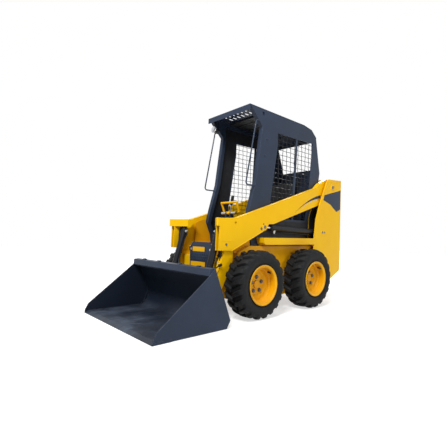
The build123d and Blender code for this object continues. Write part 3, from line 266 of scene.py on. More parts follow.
# %% [markdown]
# ## Sprayed enamel
# The plates are steel, sprayed with gloss enamel: golden yellow on the arms, a deeper yellow as painted shade
# on the frame and the rims, and slate blue on the cab, the bucket and the hitch, darkened inside the bucket
# as painted shade.
# The colour could be one flat value, but real enamel drifts a little, gathers dust on level faces, has a fine
# orange peel and thins at its edges, which turn lighter partly as wear and partly as a painted highlight. The
# Bevel node rounds each sharp edge in the shading, and its difference from the true normal is a mask of those
# edges.

# %% Enamel
YELLOW, YELLOW_DEEP = linear(247, 196, 2), linear(241, 182, 1)
# a deeper yellow for the frame: painted shade
FRAME_YELLOW_SHADED, FRAME_YELLOW_SHADED_DEEP = linear(232, 168, 14), linear(212, 146, 12)
# a deeper yellow for the rims: painted shade
RIM_YELLOW_SHADED, RIM_YELLOW_SHADED_DEEP = linear(236, 176, 10), linear(222, 156, 10)
BAR_YELLOW, BAR_YELLOW_DEEP = linear(250, 190, 6), linear(242, 176, 4)
SLATE, SLATE_DEEP = linear(45, 57, 77), linear(36, 46, 63)
BLACK, BLACK_DEEP = linear(28, 30, 35), linear(20, 22, 26)
DUST = linear(150, 150, 148)
SCRATCHED = linear(92, 104, 122)
# a lighter slate for worn bucket edges, and a dark slate for painted shade inside the bucket
BUCKET_EDGE, BUCKET_INSIDE_SHADE = linear(104, 112, 124), linear(23, 30, 42)
EDGE_ROUND = 0.003
# the limits over which the bucket's inside turns into its outside, in |x| and in z
CHEEK_LIMITS, BEAM_LIMITS = (0.567, 0.566), (0.398, 0.392)


def edge_mask(tree, radius):
    """How far the rounded normal leans from the true one: 0 on a flat, near 1 on a sharp edge."""
    rounded = add(tree, "Bevel", {"samples": 4}, Radius=radius)
    lean = tree.nodes.new("ShaderNodeVectorMath")
    lean.operation = "DOT_PRODUCT"
    tree.links.new(rounded, lean.inputs[0])
    tree.links.new(normal(tree), lean.inputs[1])
    return rounded, remap(tree, lean.outputs["Value"], 0.995, 0.9)


def level_faces(tree):
    """1 on faces that look up, 0 on the rest."""
    return remap(tree, axes(tree, normal(tree))[2], 0.55, 0.95)


def inside_bucket(tree):
    """1 between the cheeks and under the top beam, 0 outside: one mask in |x| times one in z."""
    x, _, z = axes(tree, place(tree))
    between = remap(tree, math_node(tree, "ABSOLUTE", x), *CHEEK_LIMITS)
    return times(tree, between, remap(tree, z, *BEAM_LIMITS))


def scouring(tree, inside):
    """Where a load has rubbed the bucket's floor: fine lines along X, in patches, on level faces inside."""
    lines = remap(tree, noise(tree, 0.02, 8, 0.7, scale=(1, 0.06, 0.06)), 0.4, 0.66, 0.15, 0.6)
    patches = remap(tree, noise(tree, 0.35, 5), 0.42, 0.62)
    return times(tree, times(tree, lines, patches), times(tree, inside, level_faces(tree)))


def enamel(name, colour, deep, dust=0.18, wear=0.35, worn=None, peel=0.05, gloss=0.3, inside_shade=None):
    """Gloss paint: a slow drift of colour, edges lightened partly as wear and partly as a painted
    highlight, dust on level faces, orange peel and, where asked, a painted shade and scoured lines inside."""
    finish, tree, shader = new_finish(name)
    paint = blend(tree, remap(tree, noise(tree, 0.45, 4), 0.3, 0.7), colour, deep)
    # inside the bucket the paint darkens as painted shade, and level faces there get scoured lines
    if inside_shade:
        inside = inside_bucket(tree)
        paint = blend(tree, inside, paint, inside_shade)
    rounded, edges = edge_mask(tree, EDGE_ROUND)
    # edges turn lighter: a wear colour where one is given, otherwise a painted highlight in a lighter tint of
    # the paint
    worn_and_highlit_edges = times(tree, edges, remap(tree, noise(tree, 0.03, 5), 0.45, 0.6, 0.0, wear))
    paint = blend(tree, worn_and_highlit_edges, paint, worn or tuple(min(1, c * 1.6 + 0.03) for c in colour))
    dirty = times(tree, level_faces(tree), remap(tree, noise(tree, 0.12, 6, 0.7), 0.35, 0.75, 0.0, dust))
    paint = blend(tree, dirty, paint, DUST)
    rough = remap(tree, noise(tree, 0.2, 6, 0.65), 0.3, 0.8, gloss, gloss + 0.16)
    if inside_shade:
        scoured = scouring(tree, inside)
        paint = blend(tree, scoured, paint, SCRATCHED)
        rough = math_node(tree, "ADD", rough, times(tree, scoured, 0.3))
    rough = math_node(tree, "ADD", rough, times(tree, dirty, 0.4))
    skin = bump(tree, peel, 0.001, noise(tree, 0.006, 2), Normal=rounded)
    dress(tree, shader, Base_Color=paint, Roughness=rough, Normal=skin, Specular_IOR_Level=0.17,
          Coat_Weight=0.04, Coat_Roughness=0.12)
    return finish


yellow_enamel = enamel("yellow_enamel", YELLOW, YELLOW_DEEP)
frame_enamel = enamel("frame_enamel", FRAME_YELLOW_SHADED, FRAME_YELLOW_SHADED_DEEP, dust=0.3)
rim_enamel = enamel("rim_enamel", RIM_YELLOW_SHADED, RIM_YELLOW_SHADED_DEEP)
bar_yellow = enamel("bar_yellow", BAR_YELLOW, BAR_YELLOW_DEEP, wear=0.2)
black_enamel = enamel("black_enamel", BLACK, BLACK_DEEP, dust=0.08, wear=0.3)
slate_enamel = enamel("slate_enamel", SLATE, SLATE_DEEP)
bucket_enamel = enamel("bucket_enamel", SLATE, SLATE_DEEP, dust=0.06, wear=0.5, worn=BUCKET_EDGE, gloss=0.36,
                       inside_shade=BUCKET_INSIDE_SHADE)
print("enamels:", yellow_enamel.name, slate_enamel.name, bucket_enamel.name)

# %% [markdown]
# ## Bare metal
# Cylinder rods are ground and chromed, pins and fittings are zinc plated, and the pipe from the silencer is
# heat stained steel. All are metals: their colour is in the reflection, so a low roughness, broken by fine
# marks along the work, says more than the colour does.

# %% Metals
def metal(name, colour, second, roughness, spot=0.02, stretch=(1, 1, 1), marks=0.05):
    """Metal with two tones that drift over spot metres, and marks drawn out along one direction."""
    finish, tree, shader = new_finish(name)
    tone = remap(tree, noise(tree, spot, 5, 0.65), 0.3, 0.7)
    grain = noise(tree, 0.003, 6, 0.7, scale=stretch)
    rounded, _ = edge_mask(tree, 0.001)
    dress(tree, shader, Base_Color=blend(tree, tone, colour, second),
          Roughness=remap(tree, grain, 0.3, 0.7, roughness * 0.7, roughness * 1.4),
          Normal=bump(tree, marks, 0.0005, grain, Normal=rounded), Metallic=1.0)
    return finish


chrome = metal("rod_chrome", linear(214, 216, 220), linear(190, 193, 199), 0.14, stretch=(1, 0.2, 0.2))
zinc = metal("zinc_plate", linear(205, 207, 208), linear(170, 172, 168), 0.32, spot=0.006)
dark_steel = metal("dark_steel", linear(120, 120, 122), linear(84, 80, 76), 0.42, spot=0.015)
pipe_steel = metal("pipe_steel", linear(140, 126, 112), linear(96, 72, 54), 0.45, spot=0.03)
print("metals:", chrome.name, zinc.name, dark_steel.name, pipe_steel.name)

# %% [markdown]
# ## Rubber, plastic, vinyl and glass
# Tyres are matt black rubber with a bloom of grey dust. Grips and covers are grained plastic, and the seat
# is embossed vinyl. The grain is a cell pattern used as bump at its real size, from one to a few
# millimetres. Lenses are clear, with their colour in the body.

# %% Soft and moulded finishes
def moulded(name, colour, second, roughness, grain=0.0012, depth=0.35, dust=0.0, sheen=0.0):
    """Grained surface: small cells for the skin, two tones in clouds, and powdery dust in patches."""
    finish, tree, shader = new_finish(name)
    cells = add(tree, "TexVoronoi", {"feature": "SMOOTH_F1"}, Vector=place(tree), Scale=1 / grain)
    base = blend(tree, remap(tree, noise(tree, 0.08, 6, 0.7), 0.35, 0.7), colour, second)
    powder = times(tree, remap(tree, noise(tree, 0.05, 8, 0.75), 0.42, 0.75), dust)
    rounded, _ = edge_mask(tree, 0.002)
    dress(tree, shader, Base_Color=blend(tree, powder, base, DUST),
          Roughness=remap(tree, noise(tree, 0.05, 5), 0.3, 0.7, roughness - 0.08, roughness + 0.08),
          Normal=bump(tree, depth, 0.0006, cells, Normal=rounded), Sheen_Weight=sheen,
          Specular_IOR_Level=0.16)
    return finish


def clear(name, colour):
    """Moulded lens: clear, rippled, with the colour in its body."""
    finish, tree, shader = new_finish(name)
    ripple = noise(tree, 0.02, 2)
    pale = remap(tree, ripple, 0.3, 0.7, 0.0, 0.12)
    dress(tree, shader, Normal=bump(tree, 0.15, 0.0008, ripple), Base_Color=blend(tree, pale, colour, WHITE),
          Transmission_Weight=0.85, Roughness=0.04, IOR=1.49)
    return finish


tyre_rubber = moulded("tyre_rubber", linear(14, 15, 17), linear(22, 23, 25), 0.66, grain=0.004, depth=0.15,
                      dust=0.04)
hose_rubber = moulded("hose_rubber", linear(26, 26, 28), linear(36, 36, 38), 0.5, grain=0.002, depth=0.3)
black_plastic = moulded("black_plastic", linear(30, 31, 34), linear(40, 41, 45), 0.48)
seat_vinyl = moulded("seat_vinyl", linear(36, 37, 40), linear(48, 49, 53), 0.5, grain=0.0022, depth=0.5,
                     sheen=0.15)
engine_iron = moulded("engine_iron", linear(46, 47, 49), linear(30, 30, 31), 0.6, grain=0.006, depth=0.6,
                      dust=0.12)
lens_clear = clear("lens_clear", linear(245, 248, 250))
lens_red = clear("lens_red", linear(190, 12, 10))
print("moulded and clear:", len(bpy.data.materials), "materials in all")

# %% [markdown]
# ## Giving the frame its finishes
# Each solid of the frame came with a plain slot. A short table gives every slot its finish, with the others
# that new pieces of that slot may have, and a second table names the few nodes that differ.

# %% Slots to finishes
SLOT_FINISHES = {
    "yellow_paint": (yellow_enamel, frame_enamel, rim_enamel),
    "bar_yellow": (bar_yellow,),
    "dark_paint": (slate_enamel, bucket_enamel),
    "black_paint": (black_enamel,),
    "rod_chrome": (chrome, zinc),
    "edge_steel": (dark_steel, pipe_steel),
    "engine_iron": (engine_iron,),
    "tyre_rubber": (tyre_rubber,),
    "black_plastic": (black_plastic, hose_rubber),
    "seat_vinyl": (seat_vinyl,),
    "lamp_lens": (lens_clear, lens_red),
}
NODE_FINISHES = {
    # the chassis takes the frame's deeper yellow, painted shade
    "chassis_tub": frame_enamel,
    # the rims take a deeper yellow, painted shade
    "rim_front_left": rim_enamel,
    "rim_front_right": rim_enamel,
    "rim_rear_left": rim_enamel,
    "rim_rear_right": rim_enamel,
    # the bucket's finish is darkened inside as painted shade
    "bucket_shell": bucket_enamel,
    "cutting_edge": bucket_enamel,
    "hitch_frame": bucket_enamel,
    "exhaust_pipe": pipe_steel,
    "tail_lamps": lens_red,
}

for name, node in nodes.items():
    slot_name = node.data.materials[0].name
    node.data.materials[0] = NODE_FINISHES.get(name) or SLOT_FINISHES[slot_name][0]
print("finished", len(nodes), "nodes")

# %% [markdown]
# ## Surfaces from arrays
# Most small pieces here are one of four shapes: a tube along a path, a profile turned about an axis, an
# outline pushed straight through a thickness, or a height above a grid. Each is worked out as one numpy
# array of points, with its faces as another, and several can be joined into one piece before it becomes a
# mesh.

# %% Building blocks
X, Y, Z = np.eye(3)


def circle_angles(steps, phase=0.0):
    """Equal steps once round a circle, in radians."""
    return phase + np.arange(steps) * 2 * math.pi / steps


def grid_faces(rows, columns, close_rows=False, close_columns=False):
    """Quads of a rows x columns grid: each joins a point, its right, lower right and lower neighbour."""
    row = np.arange(rows if close_rows else rows - 1)[:, None]
    column = np.arange(columns if close_columns else columns - 1)[None, :]
    next_row, next_column = (row + 1) % rows, (column + 1) % columns
    quads = [row * columns + column, row * columns + next_column,
             next_row * columns + next_column, next_row * columns + column]
    return np.stack(np.broadcast_arrays(*quads), axis=-1).reshape(-1, 4)


def ring_faces(rings, sides):
    """Quads between rings of points, and one face at each end."""
    faces = grid_faces(rings, sides, close_columns=True).tolist()
    faces.append(list(range(sides))[::-1])
    faces.append([(rings - 1) * sides + i for i in range(sides)])
    return faces


def outward(points, faces):
    """Reads the faces backwards if their signed volume, a sum of corner . (corner x corner), is negative."""
    points = np.asarray(points, float).reshape(-1, 3)
    faces = [list(map(int, face)) for face in faces]
    fans = np.array([(face[0], face[i], face[i + 1]) for face in faces for i in range(1, len(face) - 1)])
    a, b, c = (points[fans[:, i]] for i in range(3))
    volume = np.sum(a * np.cross(b, c))
    return points, faces if volume > 0 else [face[::-1] for face in faces]


def joined(parts):
    """Several (points, faces) pairs as one, with the later faces counted on from the earlier points."""
    points, faces, start = [], [], 0
    for part_points, part_faces in parts:
        points.append(np.asarray(part_points, float).reshape(-1, 3))
        faces.extend([[int(i) + start for i in face] for face in part_faces])
        start += len(points[-1])
    return np.concatenate(points), faces


def mirrored(part):
    """The other side's copy: x changes sign, and each face is read backwards so that it still looks out."""
    points, faces = part
    return np.asarray(points) * (-1, 1, 1), [list(face)[::-1] for face in faces]


def middle_of(node):
    """The middle of a node's box."""
    low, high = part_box(node)
    return np.array((low + high) / 2)


print("faces, joining and mirroring ready")

# %% [markdown]
# ## From arrays to pieces
# A piece is a mesh with its finish, shaded smooth below an angle, that rides on one body. Most pieces come
# in pairs, so a second helper makes a left and a right one from each row of a table.

# %% Pieces and pairs
def piece(name, part, body, finish, bevel=0.0, smooth=40.0, replaced=(), slot_name=None):
    """A piece of the object from points and faces."""
    mesh = bpy.data.meshes.new(name)
    points, faces = part
    mesh.from_pydata(np.asarray(points).tolist(), [], [list(map(int, face)) for face in faces])
    mesh.validate()
    mesh.shade_smooth()
    mesh.set_sharp_from_angle(angle=math.radians(smooth))
    mesh.materials.append(finish)
    made = bpy.data.objects.new(name, mesh)
    bpy.context.scene.collection.objects.link(made)
    if bevel:
        rounding = made.modifiers.new("rounding", "BEVEL")
        rounding.width = bevel
        rounding.segments = 2
        rounding.angle_limit = math.radians(smooth)
        rounding.harden_normals = False
    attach(made, body)
    if replaced:
        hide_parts(*replaced)
    return made


def pair(*rows, **looks):
    """A left and a right piece for each row of (stem, left part, body, finish). A {} in the body stands for
    the side, and a row may end with a dict of looks of its own."""
    made = {}
    for side, sign in SIDES:
        for stem, part, body, finish, *own in rows:
            shape = part if sign > 0 else mirrored(part)
            own_looks = own[0] if own else {}
            made[stem + side] = piece(stem + side, shape, body.format(side), finish, **looks, **own_looks)
    return made


print("pieces and pairs ready")

# %% [markdown]
# ## Turning, drawing out and pushing
# A turned shape needs two directions square to its axis. A tube needs them at every ring, and carries them
# along its path so that it doesn't twist. An outline is pushed along the axis that its plane leaves out.

# %% Turned, drawn and pushed shapes
def across(direction):
    """Two unit vectors square to a direction and to each other."""
    direction = np.asarray(direction, float) / np.linalg.norm(direction)
    first = np.cross(direction, X if abs(direction[0]) < 0.9 else Y)
    first /= np.linalg.norm(first)
    return first, np.cross(direction, first)


def turned(start, end, profile, sides=24):
    """A profile of (metres along, radius) rows turned about the line from start to end, closed at both ends.
    Point = start + direction * along + radius * (cos a * first + sin a * second)."""
    start, end = np.asarray(start, float), np.asarray(end, float)
    direction = (end - start) / np.linalg.norm(end - start)
    first, second = across(direction)
    angle = circle_angles(sides)
    ring = np.cos(angle)[:, None] * first + np.sin(angle)[:, None] * second
    rows = np.asarray(profile, float)
    points = start + rows[:, 0, None, None] * direction + rows[:, 1, None, None] * ring[None]
    return outward(points, ring_faces(len(rows), sides))


def studded(start, direction, *rows):
    """Turned profiles on one axis: each row is (sides, profile), with the profile measured from start."""
    start = np.asarray(start, float)
    return joined([turned(start, start + direction, profile, sides) for sides, profile in rows])


def tube(path, radius, sides=10):
    """A round tube along a path: each ring lies square to the path there, carried along without twist."""
    path = np.asarray(path, float)
    heading = np.gradient(path, axis=0)
    heading /= np.linalg.norm(heading, axis=1)[:, None]
    first = np.empty_like(path)
    first[0] = across(heading[0])[0]
    for i in range(1, len(path)):
        first[i] = first[i - 1] - heading[i] * (first[i - 1] @ heading[i])
        first[i] /= np.linalg.norm(first[i])
    second = np.cross(heading, first)
    angle = circle_angles(sides)[None, :, None]
    radius = np.broadcast_to(radius, len(path))[:, None, None]
    ring = np.cos(angle) * first[:, None] + np.sin(angle) * second[:, None]
    return outward(path[:, None] + radius * ring, ring_faces(len(path), sides))


def smooth_path(corners, steps=8):
    """A rounded line through control points: in each corner an arc (1-t)^2 a + 2t(1-t) b + t^2 c."""
    corners = np.asarray(corners, float)
    middles = (corners[:-1] + corners[1:]) / 2
    t = np.linspace(0, 1, steps)[:, None]
    arcs = [(1 - t) ** 2 * a + 2 * t * (1 - t) * b + t**2 * c
            for a, b, c in zip(middles[:-1], corners[1:-1], middles[1:])]
    path = np.concatenate([corners[:1], *arcs, corners[-1:]])
    return path[np.concatenate([[True], np.linalg.norm(np.diff(path, axis=0), axis=1) > 1e-6])]


def pushed(outline, low, high, plane="yz"):
    """An outline of 2D points pushed through from low to high along the axis that its plane leaves out."""
    outline = np.asarray(outline, float)
    count = len(outline)
    axis_order = {"yz": (1, 2, 0), "zx": (2, 0, 1)}[plane]
    points = np.empty((2 * count, 3))
    points[:, axis_order[:2]] = np.concatenate([outline, outline])
    points[:count, axis_order[2]], points[count:, axis_order[2]] = low, high
    sides = [[i, (i + 1) % count, count + (i + 1) % count, count + i] for i in range(count)]
    return outward(points, [*sides, list(range(count))[::-1], list(range(count, 2 * count))])


def slab(low, high):
    """A block between two corners."""
    outline = [(low[1], low[2]), (high[1], low[2]), (high[1], high[2]), (low[1], high[2])]
    return pushed(outline, low[0], high[0])


def at_side(x, *spots):
    """Points at one x from (y, z) pairs."""
    return [(x, y, z) for y, z in spots]


print("turned, drawn and pushed shapes ready")

# %% [markdown]
# ## Tyres
# A skid steer tyre is square shouldered, with two staggered rows of deep bars that run from the middle of
# the tread over the shoulder and down the wall. The carcass is a profile turned about the axle. One bar is
# a small grid: one parameter runs along the bar, the other over its trapezoid section, and 20 copies are
# turned round each side.

# %% Tyres
# x across the tread, radius: from one bead to the middle of the tread
CARCASS = [(0.080, 0.1525), (0.0865, 0.160), (0.0885, 0.1685), (0.0860, 0.174), (0.0930, 0.181),
           (0.0950, 0.187), (0.0945, 0.190), (0.1005, 0.203), (0.1035, 0.218), (0.1038, 0.232),
           (0.1020, 0.244), (0.0970, 0.253), (0.0900, 0.2585), (0.0780, 0.2615), (0.0500, 0.2630),
           (0.0200, 0.2638), (0.0, 0.2640)]
CARCASS_STEPS = 96
# share along the bar, x, radius at its foot, radius at its top, half width of the top
BAR_STATIONS = np.array([
    (0.00, 0.004, 0.262, 0.2845, 0.0150), (0.25, 0.026, 0.261, 0.2858, 0.0155),
    (0.50, 0.050, 0.260, 0.2858, 0.0165), (0.72, 0.072, 0.258, 0.2835, 0.0180),
    (0.84, 0.088, 0.253, 0.2755, 0.0195), (0.92, 0.0975, 0.246, 0.2620, 0.0200),
    (1.00, 0.1015, 0.236, 0.2450, 0.0205)])
BARS_A_SIDE = 20
BAR_SWEEP = 0.16
BAR_START = 0.0565
BAR_EDGE = 0.003
BAR_FLARE = 0.006
WHEELS = ("front_left", "front_right", "rear_left", "rear_right")


def round_x(x, radius, angle):
    """Points on circles about X: (x, r sin a, r cos a)."""
    return np.stack(np.broadcast_arrays(x, radius * np.sin(angle), radius * np.cos(angle)), axis=-1)


def carcass():
    """Ring of the profile and its mirror image turned about X, closed through the bead seat."""
    left = np.array(CARCASS)
    profile = np.concatenate([left, (left * (-1, 1))[-2::-1]])
    points = round_x(profile[:, :1], profile[:, 1:], circle_angles(CARCASS_STEPS))
    return outward(points, grid_faces(len(profile), CARCASS_STEPS, close_rows=True, close_columns=True))


def tread_bars():
    """Bars: at each station a trapezoid with its top edges taken off, leaning back as it goes out.
    Angle = step + sweep * share + half width / radius."""
    share, x, foot, top, half = BAR_STATIONS.T
    radius = np.stack([foot, top - BAR_EDGE, top, top, top - BAR_EDGE, foot], axis=1)
    reach = np.stack([-half - BAR_FLARE, -half, -half + BAR_EDGE, half - BAR_EDGE, half, half + BAR_FLARE],
                     axis=1)
    angle = BAR_SWEEP * share[:, None] + reach / radius
    faces = ring_faces(*reach.shape)
    bars = []
    for row, side in enumerate((1, -1)):
        for step in range(BARS_A_SIDE):
            turn = BAR_START + (step + row / 2) * 2 * math.pi / BARS_A_SIDE
            bars.append(outward(round_x(side * x[:, None], radius, angle + turn), faces))
    return joined(bars)


tyre_shape = joined([carcass(), tread_bars()])
for wheel in WHEELS:
    points, faces = tyre_shape if wheel.endswith("left") else mirrored(tyre_shape)
    tread = (points + middle_of("tyre_" + wheel), faces)
    piece("tread_" + wheel, tread, "wheel_" + wheel, tyre_rubber, smooth=28, replaced=["tyre_" + wheel])
print("tyre:", len(tyre_shape[0]), "points,", 2 * BARS_A_SIDE, "bars")

# %% [markdown]
# ## Woven wire guards
# The side windows are guarded by crimped wire: each wire passes over one crossing wire and under the next.
# A wire is a tube whose depth follows a cosine with the pitch of the weave, and neighbouring wires are half
# a wave out of step, so that they interlock. Their lengths come from the window's outline: a line at a
# fixed place enters and leaves it once, and the wires run on a little behind the sheet.

# %% Woven wire guards
# y, z round the side window, from its upper front corner
SIDE_WINDOW = np.array([(0.230, 1.686), (0.820, 1.696), (0.769, 1.193), (0.700, 0.860), (0.105, 0.860),
                        (0.140, 1.060), (0.228, 1.560)])
LOWER_FRONT = SIDE_WINDOW[4]
UPPER_REAR = SIDE_WINDOW[1]
# from one upright wire to the next, and from one level wire to the next
WIRE_PITCHES = (0.063, 0.0465)
WIRE_RADIUS = 0.0026
STEPS_A_PITCH = 4
WIRE_OVERLAP = 0.014
LAST_WIRE_GAP = 0.012


def crossings(outline, axis, values):
    """Where lines at fixed values on an axis enter and leave a convex outline. On each edge
    place = a + (b - a) * share, where share = (value - a) / (b - a) on the fixed axis is 0 to 1."""
    ends = np.roll(outline, -1, axis=0)
    run = ends[:, axis] - outline[:, axis]
    share = (values[:, None] - outline[:, axis]) / np.where(run == 0, np.inf, run)
    where = outline[:, 1 - axis] + share * (ends - outline)[:, 1 - axis]
    met = (share > 0) & (share <= 1)
    return np.min(np.where(met, where, np.inf), axis=1), np.max(np.where(met, where, -np.inf), axis=1)


def woven_wire(low, high, fixed, axis, order, depth):
    """A tube from low to high, upright if its fixed axis is 0 (y) and level if it is 1 (z):
    depth +- radius * cos(pi * s / pitch), where the pitch is that of the wires it crosses."""
    pitch = WIRE_PITCHES[1 - axis]
    count = max(3, int((high - low) / pitch * STEPS_A_PITCH))
    along = np.linspace(low, high, count)
    side = 1 if (order + 1 - axis) % 2 else -1
    wave = depth + side * WIRE_RADIUS * np.cos(math.pi * along / pitch)
    level = np.full(count, fixed)
    path = np.stack([wave, along, level] if axis else [wave, level, along], axis=1)
    return tube(path, WIRE_RADIUS, sides=6)


def guard(depth):
    """Upright wires, then level ones, half a pitch in from the window's lower front corner."""
    wires = []
    for axis, pitch in enumerate(WIRE_PITCHES):
        places = np.arange(LOWER_FRONT[axis] + pitch / 2, UPPER_REAR[axis] - LAST_WIRE_GAP, pitch)
        lows, highs = crossings(SIDE_WINDOW, axis, places)
        for order, (fixed, low, high) in enumerate(zip(places, lows, highs)):
            wires.append(woven_wire(low - WIRE_OVERLAP, high + WIRE_OVERLAP, fixed, axis, order, depth))
    return joined(wires)


screen_low, screen_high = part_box("screen_left")
guard_part = guard((screen_low[0] + screen_high[0]) / 2)
for name, made in pair(("guard_", guard_part, "machine", black_enamel), smooth=60).items():
    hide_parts(name.replace("guard", "screen"))
print("guards:", len(guard_part[0]), "points each")

# %% [markdown]
# ## Fasteners and rings
# Hex heads, their washers and weld beads turn up all over the machine. A hex head is a turned profile with
# six sides, chamfered at its top, and a weld bead is a thin tube. Each is a few dozen faces, and a table of
# places makes a whole set as one piece.

# %% Fastener shapes
def hex_bolt(spot, direction, size=0.011, height=0.008):
    """Washer of 16 sides and a chamfered six sided head on it."""
    return studded(spot, direction,
                   (16, [(-0.001, size * 1.25), (0.0018, size * 1.25), (0.0022, size * 1.15)]),
                   (6, [(0.0015, size), (height * 0.8, size), (height, size * 0.82)]))


def bolt_set(spots, direction, size=0.011, height=0.008):
    return joined([hex_bolt(spot, direction, size, height) for spot in spots])


def bead(path, thickness=0.003, steps=2):
    """A weld or a seam: a thin tube along straight runs between corners, each run in a few steps."""
    path = np.asarray(path, float)
    share = np.linspace(0, 1, steps + 1)[:-1, None]
    runs = [first + (second - first) * share for first, second in zip(path[:-1], path[1:])]
    return tube(np.concatenate([*runs, path[-1:]]), thickness, sides=6)


def ring_bead(centre, radius, thickness, steps=72, sides=8):
    """Closed ring about X: (x + t cos b, (r + t sin b) sin a, (r + t sin b) cos a)."""
    b = circle_angles(sides)[None, :]
    points = round_x(thickness * np.cos(b), radius + thickness * np.sin(b), circle_angles(steps)[:, None])
    return outward(points + centre, grid_faces(steps, sides, close_rows=True, close_columns=True))


print("fastener shapes ready")

# %% [markdown]
# ## Wheel dressing
# Five nuts hold each rim to its hub. The rim has a second lip inside its flange, a bead of weld where the
# disc meets the barrel, and a rubber valve stem. All of it turns with its wheel.

# %% Wheel dressing
STUD_COUNT = 5
STUD_CIRCLE = 0.062
# x of the nuts' seat and of the valve's foot from the wheel's middle plane
NUT_SEAT_X = 0.0085
VALVE_FOOT = (0.052, 0.1, 0.1)
VALVE_LEAN = np.array((0.036, -0.008, -0.008))
# x, radius and thickness of: two beads on the flange, the disc's weld, the edge of the hub's dish
RIM_RINGS = [(0.0905, 0.1535, 0.0026), (0.0935, 0.1588, 0.0018), (0.0205, 0.1305, 0.0032),
             (0.0082, 0.0885, 0.0016)]
WASHER = [(-0.001, 0.0175), (0.002, 0.0175), (0.005, 0.0145)]
NUT = [(0.004, 0.0148), (0.014, 0.0148), (0.0162, 0.0125)]
STUD_END = [(0.014, 0.008), (0.0195, 0.008), (0.0205, 0.0066)]
VALVE = [(-0.004, 0.0075), (0.006, 0.006), (0.022, 0.0048), (0.0225, 0.0058), (0.036, 0.0056), (0.038, 0.004)]


def wheel_nuts(centre):
    """On each stud a washer with a conical seat, a hex nut and the stud's end, five times round X."""
    angle = circle_angles(STUD_COUNT, math.pi / 2)
    seat = np.full(STUD_COUNT, NUT_SEAT_X)
    spots = centre + np.stack([seat, STUD_CIRCLE * np.cos(angle), STUD_CIRCLE * np.sin(angle)], axis=1)
    return joined([studded(spot, X, (20, WASHER), (6, NUT), (14, STUD_END)) for spot in spots])


def rim_trim(centre):
    return joined([ring_bead(centre + (x, 0, 0), radius, thickness) for x, radius, thickness in RIM_RINGS])


def valve_stem(centre):
    """Rubber stem and its cap, standing out of the barrel's well and leaning to the outside."""
    foot = centre + VALVE_FOOT
    return turned(foot, foot + VALVE_LEAN, VALVE, sides=16)


for wheel in WHEELS:
    centre = middle_of("tyre_" + wheel)
    on_left = wheel.endswith("left")
    left_centre = centre * (1 if on_left else -1, 1, 1)
    # the rim trim takes the rims' deeper yellow, painted shade
    for stem, maker, finish in (("wheel_nuts_", wheel_nuts, dark_steel), ("rim_trim_", rim_trim, rim_enamel),
                                ("valve_", valve_stem, hose_rubber)):
        part = maker(left_centre)
        piece(stem + wheel, part if on_left else mirrored(part), "wheel_" + wheel, finish)
print("dressed", len(WHEELS), "wheels")

# %% [markdown]
# ## Arm and tower details
# The pins end in domed caps, one with the bolt of its keeper, and the arm has a grease nipple and two
# bolts. Along the rear of each arm runs a slate blade-shaped stripe, thin film on the paint, and the tower
# has a plain dark panel. Both are thin sheets of the outline's own shape, less than half a millimetre
# proud.

# %% Arm and tower shapes
ARM_FACE_X = 0.346
TOWER_FACE_X = 0.376
# y, z of the pins
LIFT_PIVOT = np.array((1.091, 1.245))
LIFT_BASE = np.array((0.906, 0.742))
LIFT_ROD_PIN = np.array((0.0, 0.772))
FILM = 0.0004
FILM_SINK = 0.0002
BLADE_TIP = 0.0006
TOWER_PANEL = [(0.914, 1.092), (0.934, 1.146), (1.2695, 1.230), (1.2695, 1.012), (1.186, 0.978),
               (1.060, 1.052)]
NIPPLE_FOOT = [(-0.001, 0.0048), (0.004, 0.0048)]
NIPPLE_BALL = [(0.004, 0.003), (0.007, 0.0028), (0.009, 0.0038), (0.011, 0.0034), (0.0125, 0.0018)]


def film(outline, x):
    return pushed(outline, x - FILM_SINK, x + FILM)


def blade_stripe(tip, tail, bow, width, steps=28):
    """Blade from its tip to its broad end: chord + bow * 4 s (1 - s) upwards, half width growing as s^1.3."""
    share = np.linspace(0, 1, steps)
    tip, tail = np.asarray(tip), np.asarray(tail)
    chord = tip + (tail - tip) * share[:, None]
    chord[:, 1] += bow * 4 * share * (1 - share)
    half = width * share**1.3 / 2 + BLADE_TIP
    rise = np.stack([0 * half, half], 1)
    return np.concatenate([chord + rise, (chord - rise)[::-1]])


def grease_nipple(spot, direction):
    """Hex foot, neck and ball of a grease nipple."""
    return studded(spot, direction, (6, NIPPLE_FOOT), (12, NIPPLE_BALL))


def pin_cap(y, z, x, radius, height=0.006):
    """Domed cap on a pin's end: along = height * sin t, radius * cos t, from the rim to the middle."""
    t = np.linspace(0, 1, 6) * math.pi / 2
    dome = np.stack([height * np.sin(t), radius * np.cos(t) + 0.001], 1)
    return turned((x, y, z), (x + 1, y, z), [(-0.002, radius), *dome.tolist()], sides=28)


print("arm and tower shapes ready")

# %% Arm and tower details
arm_stripe = film(blade_stripe((0.452, 0.930), (0.905, 1.128), 0.030, 0.036), ARM_FACE_X)
arm_stripe_edge = film(blade_stripe((0.520, 0.948), (0.885, 1.096), 0.024, 0.007), ARM_FACE_X)
arm_steel = joined([
    pin_cap(*LIFT_ROD_PIN, ARM_FACE_X + 0.003, 0.015, 0.004),
    hex_bolt((ARM_FACE_X, -0.046, 0.757), X, 0.010, 0.007),
    hex_bolt((ARM_FACE_X, -0.472, 0.616), X, 0.009, 0.006),
    grease_nipple((ARM_FACE_X, -0.020, 0.800), X),
])
tower_steel = joined([
    pin_cap(*LIFT_PIVOT, TOWER_FACE_X + 0.0055, 0.018, 0.003),
    hex_bolt((TOWER_FACE_X + 0.003, *(LIFT_PIVOT + (0.026, 0.012))), X, 0.006, 0.004),
    pin_cap(*LIFT_BASE, TOWER_FACE_X + 0.0025, 0.013, 0.003),
    hex_bolt((TOWER_FACE_X, 0.950, 0.742), X, 0.008, 0.005),
])
